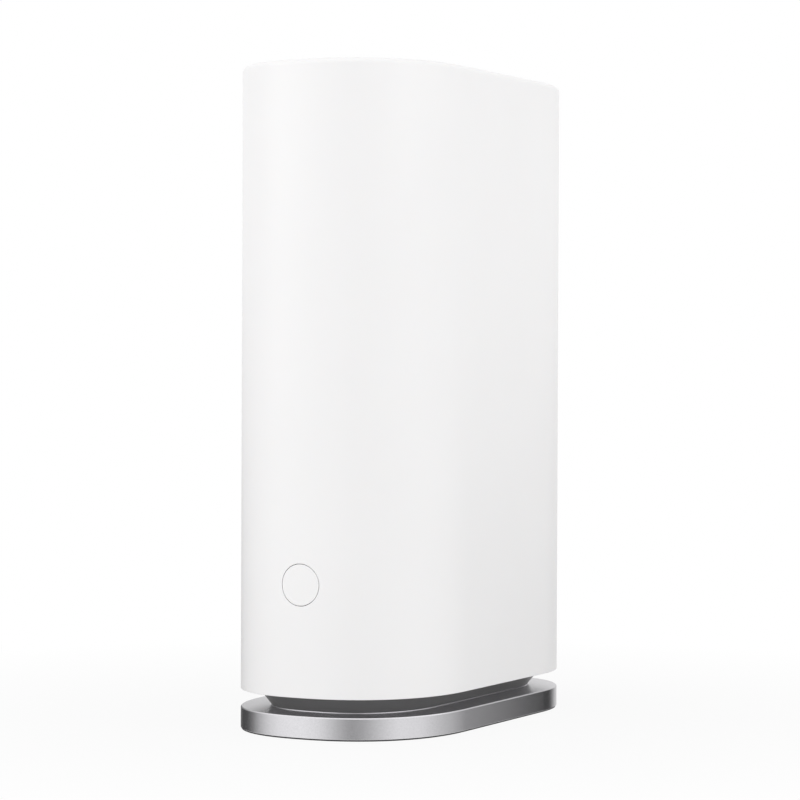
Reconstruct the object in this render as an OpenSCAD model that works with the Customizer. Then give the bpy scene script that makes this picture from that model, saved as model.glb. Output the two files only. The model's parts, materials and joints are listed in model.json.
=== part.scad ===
// Tower wireless router: a white one-piece housing on a dark, waisted neck and a metal base
// plate, with a round push-button low on its narrow front and the sockets in a recess at the rear.
// Millimetres. +Z is up, the button faces -Y, and the origin is under the middle of the part.

/* [Housing] */
// Width of the housing, side to side
body_w = 87; // [84:0.5:110]
// Length of the rounded front end, from its tip to the straight sides
nose_len = 51; // [46:1:70]
// Length of the straight sides
side_len = 68; // [66:1:90]
// Length of the rounded rear end, from the straight sides to its tip
tail_len = 45; // [42:1:60]
// Fullness of the rounded ends: 2 is an ellipse, more is squarer
end_power = 2.3; // [2.1:0.1:2.8]
// Height of the housing
body_h = 234.8; // [230:0.2:280]
// Thickness of the housing wall
wall_t = 2.6; // [2:0.1:3]
// Radius of the housing's top and bottom edges
edge_r = 2; // [1:0.1:2.4]

/* [Base] */
// Thickness of the rubber foot
foot_t = 0.6; // [0.4:0.1:1.5]
// Setback of the rubber foot from the plate's edge
foot_inset = 0.35; // [0.2:0.05:3]
// Thickness of the metal base plate
plate_t = 8; // [7:0.5:12]
// Chamfer along the top edge of the base plate
plate_chamfer = 0.4; // [0.2:0.1:1]
// Height of the open waist between the plate and the housing
neck_h = 6.6; // [5:0.2:12]
// Setback of the neck from the outline where it meets the housing
neck_top_inset = 7.2; // [6.8:0.2:9]
// Setback of the neck from the outline where it meets the plate
neck_bottom_inset = 11.3; // [9:0.1:13]
// Wall of the neck
neck_wall = 2.5; // [2:0.1:3]
// Thickness of the lower housing's floor, which closes the housing from below
floor_t = 3; // [2.5:0.1:5]
// Setback of that floor above the housing's lower edge
floor_recess = 0.8; // [0.4:0.1:2]

/* [Top grille] */
// Width of the plain rim round the top opening
rim_w = 9.5; // [8:0.5:14]
// Depth of the grille below the rim
grille_recess = 1.2; // [0.6:0.1:2]
// Thickness of the grille's hidden flange
grille_flange_t = 2; // [1.5:0.1:3]
// Width of one slot in the grille
slot_w = 3; // [2:0.1:4]
// Distance from one slot to the next
slot_pitch = 6.5; // [5.5:0.1:9]

/* [Front button] */
// Diameter of the button's face
button_d = 15.3; // [12:0.1:17]
// Gap all round between the button and the housing
button_gap = 0.3; // [0.25:0.05:0.5]
// Height of the button's centre above the housing's lower edge
button_z = 41.6; // [34:0.2:60]
// How far the button can be pushed in
button_travel = 0.8; // [0.4:0.1:1]
// Thickness of the button's face
button_face_t = 2; // [1.5:0.1:3]
// Diameter of the button's centre stem
button_stem_d = 3.6; // [3:0.1:5]

/* [Sockets] */
// Width of a network jack, along the height of the tower
jack_w = 16; // [15.5:0.1:17]
// Height of a network jack above its board
jack_h = 13.4; // [13:0.1:14]
// Depth of a network jack
jack_depth = 18; // [16:0.5:21]
// Distance from one network socket to the next
jack_pitch = 19; // [18:0.5:24]
// Extra distance between the wide-area socket and the others
wan_extra = 4; // [0:0.5:12]
// Width of a socket's mouth
mouth_w = 11.9; // [11.8:0.05:12.2]
// Height of a socket's mouth
mouth_h = 8.4; // [8.2:0.1:8.8]
// Depth of a socket's mouth
mouth_depth = 13; // [12:0.5:14]
// Width of the slot for the plug's latch
latch_w = 6.2; // [6:0.1:6.6]
// Height of the slot for the plug's latch
latch_h = 1.6; // [1.4:0.1:2]
// Width of the socket recess
recess_w = 38; // [32:1:40]
// Depth of the socket recess at its middle
recess_depth = 9; // [7:0.5:14]
// Corner radius of the socket recess
recess_r = 4; // [2:0.5:6]
// Height of the recess's lower edge above the housing's lower edge
recess_z = 15; // [12:0.5:24]
// Wall thickness of the socket panel
panel_t = 2; // [1.5:0.1:2.5]

/* [Power inlet] */
// Diameter of the power inlet's hole
inlet_d = 5.6; // [5.5:0.1:6.5]
// Diameter of the power inlet's centre pin
inlet_pin_d = 2.1; // [1.6:0.1:2.5]
// Depth of the power inlet's hole
inlet_depth = 9.5; // [9:0.5:11]
// Width of the power inlet's block
inlet_w = 9; // [9:0.1:11]
// Height of the power inlet's block above the board
inlet_h = 11; // [10.6:0.1:12]

/* [Reset button] */
// Diameter of the hole that a pin is pushed through
reset_hole_d = 2.6; // [2.2:0.1:3.2]
// Diameter of the reset button
reset_d = 3.2; // [3:0.1:3.6]
// How far the reset button can be pushed in
reset_travel = 0.4; // [0.3:0.05:0.6]

/* [Circuit board] */
// Thickness of the circuit board
board_t = 1.6; // [1.2:0.1:2]
// Length of the circuit board, front to back
board_len = 118; // [112:1:122]
// Height of the circuit board
board_h = 196; // [190:1:198]
// Distance of the board's holes from its edges
board_hole_inset = 5; // [4.5:0.1:6]
// Distance between the board's front and rear holes
board_hole_span = 84; // [82:1:88]

/* [Cooling] */
// Thickness of the heat sink's base
sink_base_t = 3; // [2:0.1:4]
// Length of the heat sink, front to back
sink_len = 72; // [66:1:76]
// Height of the heat sink
sink_h = 110; // [100:1:120]
// Height of the heat sink's fins
fin_h = 20; // [12:0.5:24]
// Thickness of one fin
fin_t = 1.4; // [1:0.1:2]
// Number of fins
fin_count = 10; // [6:1:12]
// Side of the processor package
chip_w = 23; // [18:0.5:26]
// Height of the processor package
chip_t = 2.2; // [1.6:0.1:2.4]
// Thickness of the thermal pad
pad_t = 0.8; // [0.5:0.1:1.2]

/* [Radio] */
// Width of an antenna plate
antenna_w = 16; // [12:0.5:18]
// Height of an antenna plate
antenna_h = 60; // [50:1:66]
// Thickness of an antenna plate
antenna_t = 0.8; // [0.6:0.1:1.2]
// Side of a radio shield
shield_w = 38; // [30:1:42]
// Height of a radio shield off the board
shield_t = 2.6; // [2:0.1:2.8]
// Wall of a radio shield
shield_wall = 0.4; // [0.3:0.05:0.5]

/* [Frame] */
// Thickness of the frame's plates and posts
frame_t = 3; // [2.5:0.1:3.5]
// Setback of the frame's lower plate from the outline, which leaves the air path open
frame_inset = 9; // [8.5:0.1:10]
// Width of the rails that carry the board
rail_w = 8; // [7:0.5:9]
// Height of the standoffs under the board
standoff_h = 3; // [3:0.1:4]

/* [Fits and fasteners] */
// Clearance between housing parts that fit into each other
fit = 0.3; // [0.2:0.05:0.5]
// Clearance round a screw's shank where it passes freely
screw_play = 0.2; // [0.1:0.05:0.4]
// Shank diameter of the base screws
base_screw_d = 3; // [2.5:0.1:4]
// Head diameter of the base screws
base_head_d = 6; // [5:0.1:7]
// Shank diameter of the small screws
screw_d = 2.2; // [2:0.1:2.6]
// Head diameter of the small screws
head_d = 4; // [3.8:0.1:4.2]
// Head height of the small screws
head_t = 1.4; // [1.2:0.1:1.6]

/* [Hidden] */

$fn = 48;
lan_count = 3;        // network sockets beside the wide-area one, each a node of its own
eps = 1;              // overshoot of a cut past the face that it opens
blind_end = 1;        // solid left at the end of a blind hole
screw_short = 0.5;    // how far a screw stops short of the face that it reaches
quarter_steps = 16;   // chords in a quarter of the outline
fillet_steps = 4;     // chords in a quarter of an edge fillet

// Heights of the stack, from the ground up
plate_z = foot_t;
neck_z = plate_z + plate_t;
body_z = neck_z + neck_h;
body_top = body_z + body_h;
floor_z = body_z + floor_recess;
frame_z = floor_z + floor_t;
grille_z = body_top - wall_t - grille_flange_t;
frame_top_z = grille_z - frame_t;

// Plan of the housing
half_w = body_w / 2;
body_d = nose_len + side_len + tail_len;
front_y = -body_d / 2;
rear_y = body_d / 2;
side_y = (nose_len - tail_len) / 2;   // middle of the straight sides

function signed_power(v, p) = sign(v) * pow(abs(v), p);

// A point of the outline at angle a, moved in by d along its normal. The nose is 180 to 360
// degrees and the tail is 0 to 180, each a superellipse quadrant pair on the straight sides.
function outline_point(a, len, y0, d) =
    let (x = half_w * signed_power(cos(a), 2 / end_power),
         y = len * signed_power(sin(a), 2 / end_power),
         gx = signed_power(x / half_w, end_power - 1) / half_w,
         gy = signed_power(y / len, end_power - 1) / len,
         g = norm([gx, gy]))
    [x - d * gx / g, y0 + y - d * gy / g];

function outline(d) = concat(
    [for (i = [0:2 * quarter_steps])
        outline_point(180 + 90 * i / quarter_steps, nose_len, side_y - side_len / 2, d)],
    [for (i = [0:2 * quarter_steps])
        outline_point(90 * i / quarter_steps, tail_len, side_y + side_len / 2, d)]);

// How far the rounded front falls back at a distance x from the middle
function nose_sag(x) = nose_len * (1 - pow(1 - pow(x / half_w, end_power), 1 / end_power));

// A closed solid through rings of the outline, each ring given as [height, inset]
module loft(rings) {
    n = len(outline(0));
    last = len(rings) - 1;
    polyhedron(
        points = [for (r = rings, p = outline(r[1])) [p[0], p[1], r[0]]],
        faces = concat(
            [[for (i = [0:n - 1]) i]],
            [for (k = [0:last - 1], i = [0:n - 1])
                let (j = (i + 1) % n)
                [k * n + i, (k + 1) * n + i, (k + 1) * n + j, k * n + j]],
            [[for (i = [n - 1:-1:0]) last * n + i]]));
}

// A straight solid on the outline moved in by d
module prism(d, z, h) {
    translate([0, 0, z]) linear_extrude(h) polygon(outline(d));
}

// A block from its lowest corner to its highest
module block(low, high) {
    translate(low) cube(high - low);
}

// A rod along X, Y or Z from a start point
module rod_x(p, r, h) { translate(p) rotate([0, 90, 0]) cylinder(r = r, h = h); }
module rod_y(p, r, h) { translate(p) rotate([-90, 0, 0]) cylinder(r = r, h = h); }
module rod_z(p, r, h) { translate(p) cylinder(r = r, h = h); }

// A round-cornered slab in the XZ plane, w wide and from z0 to z1, that runs from y to y + depth
module round_slab(w, z0, z1, r, y, depth) {
    translate([0, y + depth, 0]) rotate([90, 0, 0]) linear_extrude(depth) {
        translate([-w / 2 + r, z0]) square([w - 2 * r, z1 - z0]);
        translate([-w / 2, z0 + r]) square([w, z1 - z0 - 2 * r]);
        for (x = [-w / 2 + r, w / 2 - r], z = [z0 + r, z1 - r]) translate([x, z]) circle(r);
    }
}

// A screw along Z: a head with a cross recess under a shank that points up
module screw(shank_d, shank_l, head_d, head_t) {
    slot = head_d / 5;
    difference() {
        union() {
            translate([0, 0, -head_t]) cylinder(d = head_d, h = head_t);
            cylinder(d = shank_d, h = shank_l);
        }
        for (turn = [0, 90]) rotate(turn)
            translate([-head_d * 0.35, -slot / 2, -head_t - eps])
                cube([head_d * 0.7, slot, eps + head_t / 2]);
    }
}

// ---- Housing ----

shell_boss_r = 3.2;
shell_boss_h = 12;
shell_boss_out = 2.2;                 // from the wall to a boss's middle, so that they run together
shell_boss_inset = wall_t + shell_boss_out;
shell_thread_l = 8;
shell_screw_l = floor_t + shell_thread_l;
button_cz = body_z + button_z;
button_r = button_d / 2;
recess_z0 = body_z + recess_z;
panel_y = rear_y - recess_depth;      // outer face of the recess's floor

module at_shell_screws() {
    for (sx = [-1, 1], sy = [-1, 1])
        translate([sx * (half_w - shell_boss_inset), side_y + sy * side_len / 2, 0]) children();
}

module outer_shell() {
    rings = concat(
        [for (i = [0:fillet_steps]) let (a = 90 * i / fillet_steps)
            [body_z + edge_r * (1 - cos(a)), edge_r * (1 - sin(a))]],
        [for (i = [0:fillet_steps]) let (a = 90 * i / fillet_steps)
            [body_top - edge_r * (1 - sin(a)), edge_r * (1 - cos(a))]]);
    color("white") {
        difference() {
            loft(rings);
            prism(wall_t, body_z - eps, body_h - wall_t + eps);
            prism(rim_w, body_top - wall_t - eps, wall_t + 2 * eps);
            rod_y([0, front_y - eps, button_cz], button_r + button_gap, wall_t + nose_sag(button_r) + 2 * eps);
            round_slab(recess_w, recess_z0, recess_z1, recess_r, panel_y, recess_depth + eps);
        }
        difference() {
            intersection() {
                at_shell_screws() rod_z([0, 0, frame_z + fit], shell_boss_r, shell_boss_h);
                prism(wall_t / 2, body_z, body_h / 2);
            }
            at_shell_screws() rod_z([0, 0, frame_z], screw_d / 2, shell_boss_h - blind_end);
        }
    }
}

// ---- Grille in the top opening ----

grille_border = 4;                    // plain border round the slots

module top_grille() {
    edge = rim_w + fit;
    color([0.78, 0.79, 0.8]) difference() {
        union() {
            prism(wall_t + 2 * fit, grille_z, grille_flange_t);
            prism(edge, grille_z, grille_flange_t + wall_t - grille_recess);
        }
        intersection() {
            prism(edge + grille_border, grille_z - eps, wall_t + grille_flange_t + 2 * eps);
            union() {
                count = floor((body_d / 2 - edge - 2 * grille_border) / slot_pitch);
                for (i = [-count:count], sx = [-1, 1])
                    translate([sx > 0 ? slot_w / 2 : -half_w, i * slot_pitch - slot_w / 2, grille_z - eps])
                        cube([half_w - slot_w / 2, slot_w, wall_t + grille_flange_t + 2 * eps]);
            }
        }
    }
}

// ---- Lower housing with the neck ----

base_boss_r = 4.8;
base_screw_in = 8;                    // from the neck's lower edge in to the screws
base_screw_x = half_w - neck_bottom_inset - base_screw_in;
base_screw_back = 4;                  // from the ends of the straight sides in to the screws
base_screw_span = side_len / 2 - base_screw_back;
base_head_t = 2.4;
counterbore_h = 3.6;
base_screw_l = plate_t - counterbore_h + neck_h - screw_short;
frame_screw_x = 12;
frame_screw_out = 8;                  // from the ends of the straight sides out to the screws
frame_screw_y = side_len / 2 + frame_screw_out;
frame_screw_l = floor_t + frame_t - screw_short;
intake_w = 5;
intake_len = 2;
intake_count = 7;
intake_pitch = 8;

module at_base_screws() {
    for (sx = [-1, 1], sy = [-1, 1])
        translate([sx * base_screw_x, side_y + sy * base_screw_span, 0]) children();
}

module at_frame_screws() {
    for (sx = [-1, 1], sy = [-1, 1])
        translate([sx * frame_screw_x, side_y + sy * frame_screw_y, 0]) children();
}

module lower_housing() {
    flange_inset = wall_t + fit;
    intake_x = half_w - (flange_inset + neck_top_inset) / 2;
    color([0.3, 0.3, 0.31]) difference() {
        union() {
            prism(flange_inset, floor_z, floor_t);
            difference() {
                loft([[neck_z, neck_bottom_inset], [floor_z + floor_t / 2, neck_top_inset]]);
                loft([[neck_z - eps, neck_bottom_inset + neck_wall], [floor_z, neck_top_inset + neck_wall]]);
            }
            at_base_screws() rod_z([0, 0, neck_z], base_boss_r, floor_z - neck_z + floor_t / 2);
        }
        at_base_screws() rod_z([0, 0, neck_z - eps], base_screw_d / 2, floor_z - neck_z + eps);
        at_frame_screws() rod_z([0, 0, floor_z - eps], screw_d / 2 + screw_play, floor_t + 2 * eps);
        at_shell_screws() rod_z([0, 0, floor_z - eps], screw_d / 2 + screw_play, floor_t + 2 * eps);
        for (sx = [-1, 1], i = [-(intake_count - 1) / 2:(intake_count - 1) / 2])
            translate([sx * intake_x - intake_len / 2, side_y + i * intake_pitch - intake_w / 2, floor_z - eps])
                cube([intake_len, intake_w, floor_t + 2 * eps]);
    }
}

// ---- Base ----

module base_plate() {
    color([0.76, 0.77, 0.78]) difference() {
        loft([[plate_z, plate_chamfer / 2], [plate_z + plate_chamfer / 2, 0],
            [neck_z - plate_chamfer, 0], [neck_z, plate_chamfer]]);
        at_base_screws() rod_z([0, 0, plate_z - eps], base_screw_d / 2 + screw_play, plate_t + 2 * eps);
        at_base_screws() rod_z([0, 0, plate_z - eps], base_head_d / 2 + fit, counterbore_h + eps);
    }
}

module foot_pad() {
    color([0.12, 0.12, 0.13]) prism(foot_inset, 0, foot_t);
}

module base_screws() {
    color("silver") at_base_screws()
        translate([0, 0, plate_z + counterbore_h]) screw(base_screw_d, base_screw_l, base_head_d, base_head_t);
}

module shell_screws() {
    color("silver") at_shell_screws() translate([0, 0, floor_z]) screw(screw_d, shell_screw_l, head_d, head_t);
}

// ---- Frame that carries the board, the grille and the antennas ----

board_lift = 4;                       // from the frame's lower plate up to the board
board_gap = 0.4;                      // from the board's rear edge to the socket panel
board_x = -jack_h / 2;                // face of the board that carries the jacks
board_back_x = board_x - board_t;
board_z = frame_z + frame_t + board_lift;
board_top = board_z + board_h;
board_rear_y = panel_y - panel_t - board_gap;
board_front_y = board_rear_y - board_len;
rail_x = board_back_x - standoff_h;   // face of the rails under the standoffs
rail_ys = [board_front_y + board_hole_inset, board_front_y + board_hole_inset + board_hole_span];
board_hole_zs = [board_z + board_hole_inset, board_top - board_hole_inset];
standoff_r = 3;
board_screw_l = board_t + standoff_h + frame_t - screw_short;

shell_in_y = front_y + wall_t;
cap_lap = 0.9;                        // how far the cap's flange laps behind the housing
cap_flange_r = button_r + button_gap + cap_lap;
cap_flange_t = 1.2;
cap_flange_y = shell_in_y + nose_sag(cap_flange_r) + fit;
cap_back_y = cap_flange_y + cap_flange_t;
cap_wall = 1.6;
cap_setback = 0.1;                    // of the cap's face from the outline
stem_out = 1;                         // how far the cap's stem stands out behind its flange
stem_end_y = cap_back_y + stem_out;
plunger_r = 1.7;
plunger_play = 0.05;                  // gap round a plunger in its switch
plunger_seat = 0.8;                   // how deep the plunger sits in the switch at rest
plunger_spare = 0.6;                  // what still stands out of the switch when it is pressed
plunger_out = button_travel + plunger_spare;
well_gap = 0.4;                       // left under a pressed plunger
switch_w = 6;
switch_t = 3.4;
switch_y = stem_end_y + plunger_out;
button_board_y = switch_y + switch_t;
button_board_t = 1.2;
post_y = button_board_y + button_board_t;
guide_wall = 1.6;
guide_r = cap_flange_r + fit + guide_wall;
guide_y = shell_in_y + nose_sag(guide_r) + fit;
ear_r = 3.2;
ear_t = 1.6;
ear_out = 2;                          // from the guide's rim out to an ear's hole
ear_z = guide_r + ear_out;
button_screw_l = ear_t + button_board_t + frame_t - screw_short;

top_ring_w = 8;                       // how far the frame's top ring shows past the rim of the opening
side_post_w = antenna_w;
side_post_in = 0.5;                   // from the edge of the frame's lower plate in to the posts
side_post_x = half_w - frame_inset - frame_t - side_post_in;
panel_gap = 0.2;                      // from the rear posts to the socket panel
rear_post_y = panel_y - panel_t - panel_gap - frame_t;
rear_post_x = 14;
rear_post_w = 7;

module inner_frame() {
    post_h = frame_top_z - frame_z;
    color([0.86, 0.87, 0.88]) difference() {
        union() {
            prism(frame_inset, frame_z, frame_t);
            difference() {
                prism(wall_t + 2 * fit, frame_top_z, frame_t);
                difference() {
                    prism(rim_w + top_ring_w, frame_top_z - eps, frame_t + 2 * eps);
                    for (y = rail_ys)
                        block([-half_w, y - rail_w / 2, frame_top_z - eps],
                            [half_w, y + rail_w / 2, frame_top_z + frame_t + eps]);
                }
            }
            for (y = rail_ys) {
                block([rail_x - frame_t, y - rail_w / 2, frame_z],
                    [rail_x, y + rail_w / 2, frame_top_z + frame_t / 2]);
                for (z = board_hole_zs)
                    rod_x([rail_x - frame_t / 2, y, z], standoff_r, standoff_h + frame_t / 2);
            }
            block([-guide_r, post_y, frame_z], [guide_r, post_y + frame_t, frame_top_z + frame_t / 2]);
            for (sx = [-1, 1]) {
                translate([sx * (side_post_x + frame_t / 2) - frame_t / 2, side_y - side_post_w / 2, frame_z])
                    cube([frame_t, side_post_w, post_h + frame_t / 2]);
                translate([sx * rear_post_x - rear_post_w / 2, rear_post_y, frame_z])
                    cube([rear_post_w, frame_t, post_h + frame_t / 2]);
            }
        }
        for (y = rail_ys, z = board_hole_zs)
            rod_x([rail_x - frame_t - eps, y, z], screw_d / 2, standoff_h + frame_t + 2 * eps);
        for (sz = [-1, 1]) rod_y([0, post_y - eps, button_cz + sz * ear_z], screw_d / 2, frame_t + 2 * eps);
        at_frame_screws() rod_z([0, 0, frame_z - eps], screw_d / 2, frame_t + 2 * eps);
        for (sx = [-1, 1], z = panel_screw_zs)
            rod_y([sx * rear_post_x, rear_post_y - eps, z], screw_d / 2, frame_t + 2 * eps);
    }
}

module frame_screws() {
    color("silver") at_frame_screws() translate([0, 0, floor_z]) screw(screw_d, frame_screw_l, head_d, head_t);
}

// ---- Socket panel in the rear recess ----

inlet_rise = 11;                      // from the recess's lower edge up to the inlet
reset_rise = 7;                       // from the inlet's block up to the reset hole
jack_rise = 5;                        // from the reset hole up to the first jack
recess_end = 5;                       // from the last jack up to the recess's upper edge
panel_screw_in = 5;                   // from the recess's edges in to the panel's screws
jack_setback = 0.4;                   // of the jacks' faces in their cut-outs
inlet_z = recess_z0 + inlet_rise;
reset_z = inlet_z + inlet_w / 2 + reset_rise;
wan_z = reset_z + jack_rise + jack_w / 2;
lan_zs = [for (i = [1:lan_count]) wan_z + wan_extra + i * jack_pitch];
jack_zs = concat([wan_z], lan_zs);
recess_z1 = lan_zs[lan_count - 1] + jack_w / 2 + recess_end;
jack_y = panel_y - jack_setback;
panel_screw_zs = [recess_z0 + panel_screw_in, recess_z1 - panel_screw_in];
panel_screw_l = panel_t + frame_t;

module port_panel() {
    color([0.8, 0.81, 0.82]) difference() {
        intersection() {
            block([-recess_w / 2 - panel_t, panel_y - panel_t, recess_z0 - panel_t],
                [recess_w / 2 + panel_t, rear_y, recess_z1 + panel_t]);
            prism(wall_t + fit, recess_z0 - panel_t - eps, recess_z1 - recess_z0 + 2 * panel_t + 2 * eps);
        }
        round_slab(recess_w, recess_z0, recess_z1, recess_r, panel_y, recess_depth + eps);
        for (z = jack_zs)
            block([board_x - fit, panel_y - panel_t - eps, z - jack_w / 2 - fit],
                [jack_h / 2 + fit, panel_y + eps, z + jack_w / 2 + fit]);
        block([board_x - fit, panel_y - panel_t - eps, inlet_z - inlet_w / 2 - fit],
            [board_x + inlet_h + fit, panel_y + eps, inlet_z + inlet_w / 2 + fit]);
        rod_y([reset_x, panel_y - panel_t - eps, reset_z], reset_hole_d / 2, panel_t + 2 * eps);
        for (sx = [-1, 1], z = panel_screw_zs)
            rod_y([sx * rear_post_x, panel_y - panel_t - eps, z], screw_d / 2 + screw_play, panel_t + 2 * eps);
    }
}

module panel_screws() {
    color("silver") for (sx = [-1, 1], z = panel_screw_zs)
        translate([sx * rear_post_x, panel_y, z]) rotate([90, 0, 0])
            screw(screw_d, panel_screw_l, head_d, head_t);
}

// ---- Front button ----

module button_cap() {
    color("white") intersection() {
        difference() {
            union() {
                rod_y([0, front_y - eps, button_cz], button_r, cap_back_y - front_y + eps);
                rod_y([0, cap_flange_y, button_cz], cap_flange_r, cap_flange_t);
                rod_y([0, cap_flange_y, button_cz], button_stem_d / 2, stem_end_y - cap_flange_y);
            }
            difference() {
                rod_y([0, front_y + button_face_t, button_cz], button_r - cap_wall, cap_back_y - front_y);
                rod_y([0, front_y, button_cz], button_stem_d / 2, stem_end_y - front_y);
            }
        }
        prism(cap_setback, button_cz - 2 * button_d, 4 * button_d);
    }
}

module button_housing() {
    color([0.3, 0.3, 0.31]) difference() {
        union() {
            rod_y([0, guide_y, button_cz], guide_r, button_board_y - guide_y);
            for (sz = [-1, 1]) {
                rod_y([0, button_board_y - ear_t, button_cz + sz * ear_z], ear_r, ear_t);
                block([-ear_r, button_board_y - ear_t, button_cz + sz * ear_z / 2 - ear_z / 2],
                    [ear_r, button_board_y, button_cz + sz * ear_z / 2 + ear_z / 2]);
            }
        }
        rod_y([0, guide_y - eps, button_cz], cap_flange_r + fit, button_board_y - guide_y + 2 * eps);
        for (sz = [-1, 1])
            rod_y([0, button_board_y - ear_t - eps, button_cz + sz * ear_z], screw_d / 2 + screw_play,
                ear_t + 2 * eps);
    }
}

button_board_half_h = ear_z + ear_r;

module button_board() {
    color("darkgreen") difference() {
        block([-guide_r, button_board_y, button_cz - button_board_half_h],
            [guide_r, post_y, button_cz + button_board_half_h]);
        for (sz = [-1, 1])
            rod_y([0, button_board_y - eps, button_cz + sz * ear_z], screw_d / 2 + screw_play,
                button_board_t + 2 * eps);
    }
}

module button_screws() {
    color("silver") for (sz = [-1, 1])
        translate([0, button_board_y - ear_t, button_cz + sz * ear_z]) rotate([-90, 0, 0])
            screw(screw_d, button_screw_l, head_d, head_t);
}

module button_switch() {
    color("black") difference() {
        translate([-switch_w / 2, switch_y, button_cz - switch_w / 2]) cube([switch_w, switch_t, switch_w]);
        rod_y([0, switch_y - eps, button_cz], plunger_r + plunger_play,
            eps + plunger_seat + button_travel + well_gap);
    }
}

module button_plunger() {
    color("ivory") rod_y([0, stem_end_y, button_cz], plunger_r, plunger_out + plunger_seat);
}

led = [1.6, 0.8, 1.2];
led_gap = 1.2;                        // from the switch to the lights on either side of it

module status_leds() {
    color("white") for (sx = [-1, 1])
        translate([sx * (switch_w / 2 + led_gap + led[0] / 2) - led[0] / 2, button_board_y - led[1],
            button_cz - led[2] / 2]) cube(led);
}

// ---- Board and what is soldered to it ----

module main_board() {
    color("darkgreen") difference() {
        block([board_back_x, board_front_y, board_z], [board_x, board_rear_y, board_z + board_h]);
        for (y = rail_ys, z = board_hole_zs)
            rod_x([board_back_x - eps, y, z], screw_d / 2 + screw_play, board_t + 2 * eps);
        for (y = sink_screw_ys, z = sink_screw_zs)
            rod_x([board_back_x - eps, y, z], screw_d / 2 + screw_play, board_t + 2 * eps);
    }
}

module board_screws() {
    color("silver") for (y = rail_ys, z = board_hole_zs)
        translate([board_x, y, z]) rotate([0, -90, 0]) screw(screw_d, board_screw_l, head_d, head_t);
}

// A block on the board's socket side, centred at y and z, of the given length, height and thickness
module on_board(y, z, size) {
    block([board_x, y - size[0] / 2, z - size[1] / 2], [board_x + size[2], y + size[0] / 2, z + size[1] / 2]);
}

sink_x = board_x + chip_t + pad_t;    // underside of the heat sink's base
sink_tip_x = sink_x + sink_base_t + fin_h;
sink_y = board_front_y + board_hole_inset + board_hole_span / 2;
sink_drop = 23.4;                     // from the board's top edge down to the heat sink
sink_z = board_top - sink_drop - sink_h / 2;
leg_r = 2.6;
leg_in = leg_r + 1;                   // from the sink's edges in to its legs
sink_screw_ys = [sink_y - sink_len / 2 + leg_in, sink_y + sink_len / 2 - leg_in];
sink_screw_zs = [sink_z - sink_h / 2 + leg_in, sink_z + sink_h / 2 - leg_in];
sink_screw_l = board_t + chip_t + pad_t + sink_base_t - screw_short;
leg_blind = 0.4;                      // solid left over a leg's hole
memory_chip = [9, 14, 1.1];           // length, height and thickness, as of the parts below
memory_gap = 4.5;                     // from the processor to a memory chip
memory_rise = 8;                      // of a memory chip's middle from the processor's
memory_y = (chip_w + memory_chip[0]) / 2 + memory_gap;
store_chip = [8, 12, 1];
store_y = (chip_w + store_chip[0]) / 2 + memory_gap;

module processor() {
    color([0.15, 0.15, 0.16]) on_board(sink_y, sink_z, [chip_w, chip_w, chip_t]);
}

module memory_chips() {
    color([0.12, 0.12, 0.12]) for (sz = [-1, 1])
        on_board(sink_y + memory_y, sink_z + sz * memory_rise, memory_chip);
}

module flash_chip() {
    color([0.12, 0.12, 0.12]) on_board(sink_y - store_y, sink_z, store_chip);
}

module thermal_pad() {
    color([0.55, 0.65, 0.75]) translate([chip_t, 0, 0]) on_board(sink_y, sink_z, [chip_w, chip_w, pad_t]);
}

module heat_sink() {
    pitch = (sink_len - fin_t) / (fin_count - 1);
    color([0.7, 0.71, 0.72]) difference() {
        union() {
            block([sink_x, sink_y - sink_len / 2, sink_z - sink_h / 2],
                [sink_x + sink_base_t, sink_y + sink_len / 2, sink_z + sink_h / 2]);
            for (i = [0:fin_count - 1]) let (y = sink_y - sink_len / 2 + i * pitch)
                block([sink_x + sink_base_t / 2, y, sink_z - sink_h / 2],
                    [sink_tip_x, y + fin_t, sink_z + sink_h / 2]);
            for (y = sink_screw_ys, z = sink_screw_zs)
                rod_x([board_x, y, z], leg_r, sink_x - board_x + sink_base_t / 2);
        }
        for (y = sink_screw_ys, z = sink_screw_zs)
            rod_x([board_x - eps, y, z], screw_d / 2, sink_x - board_x + sink_base_t - leg_blind + eps);
    }
}

module heat_sink_screws() {
    color("silver") for (y = sink_screw_ys, z = sink_screw_zs)
        translate([board_back_x, y, z]) rotate([0, 90, 0]) screw(screw_d, sink_screw_l, head_d, head_t);
}

shield_y = sink_y;
shield_rise = 36;                     // from the board's lower edge up to the lower shield
shield_gap = 18;                      // between the two shields
shield_zs = [for (i = [0, 1]) board_z + shield_rise + shield_w / 2 + i * (shield_w + shield_gap)];
radio_chip_w = 12;
radio_chip_t = 1;

module radio_shield(z) {
    inner_w = shield_w - 2 * shield_wall;
    color([0.8, 0.8, 0.78]) translate([board_back_x - shield_t, shield_y, z]) difference() {
        translate([0, -shield_w / 2, -shield_w / 2]) cube([shield_t, shield_w, shield_w]);
        translate([shield_wall, -inner_w / 2, -inner_w / 2]) cube([shield_t, inner_w, inner_w]);
    }
}

module radio_chips() {
    color([0.12, 0.12, 0.12]) for (z = shield_zs)
        block([board_back_x - radio_chip_t, shield_y - radio_chip_w / 2, z - radio_chip_w / 2],
            [board_back_x, shield_y + radio_chip_w / 2, z + radio_chip_w / 2]);
}

// ---- Jacks ----

mouth_x = board_x + (jack_h - mouth_h - latch_h) / 2;

module network_jack(z) {
    difference() {
        block([board_x, jack_y - jack_depth, z - jack_w / 2], [board_x + jack_h, jack_y, z + jack_w / 2]);
        block([mouth_x, jack_y - mouth_depth, z - mouth_w / 2],
            [mouth_x + mouth_h, jack_y + eps, z + mouth_w / 2]);
        block([mouth_x + mouth_h - eps, jack_y - mouth_depth, z - latch_w / 2],
            [mouth_x + mouth_h + latch_h, jack_y + eps, z + latch_w / 2]);
    }
}

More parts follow.
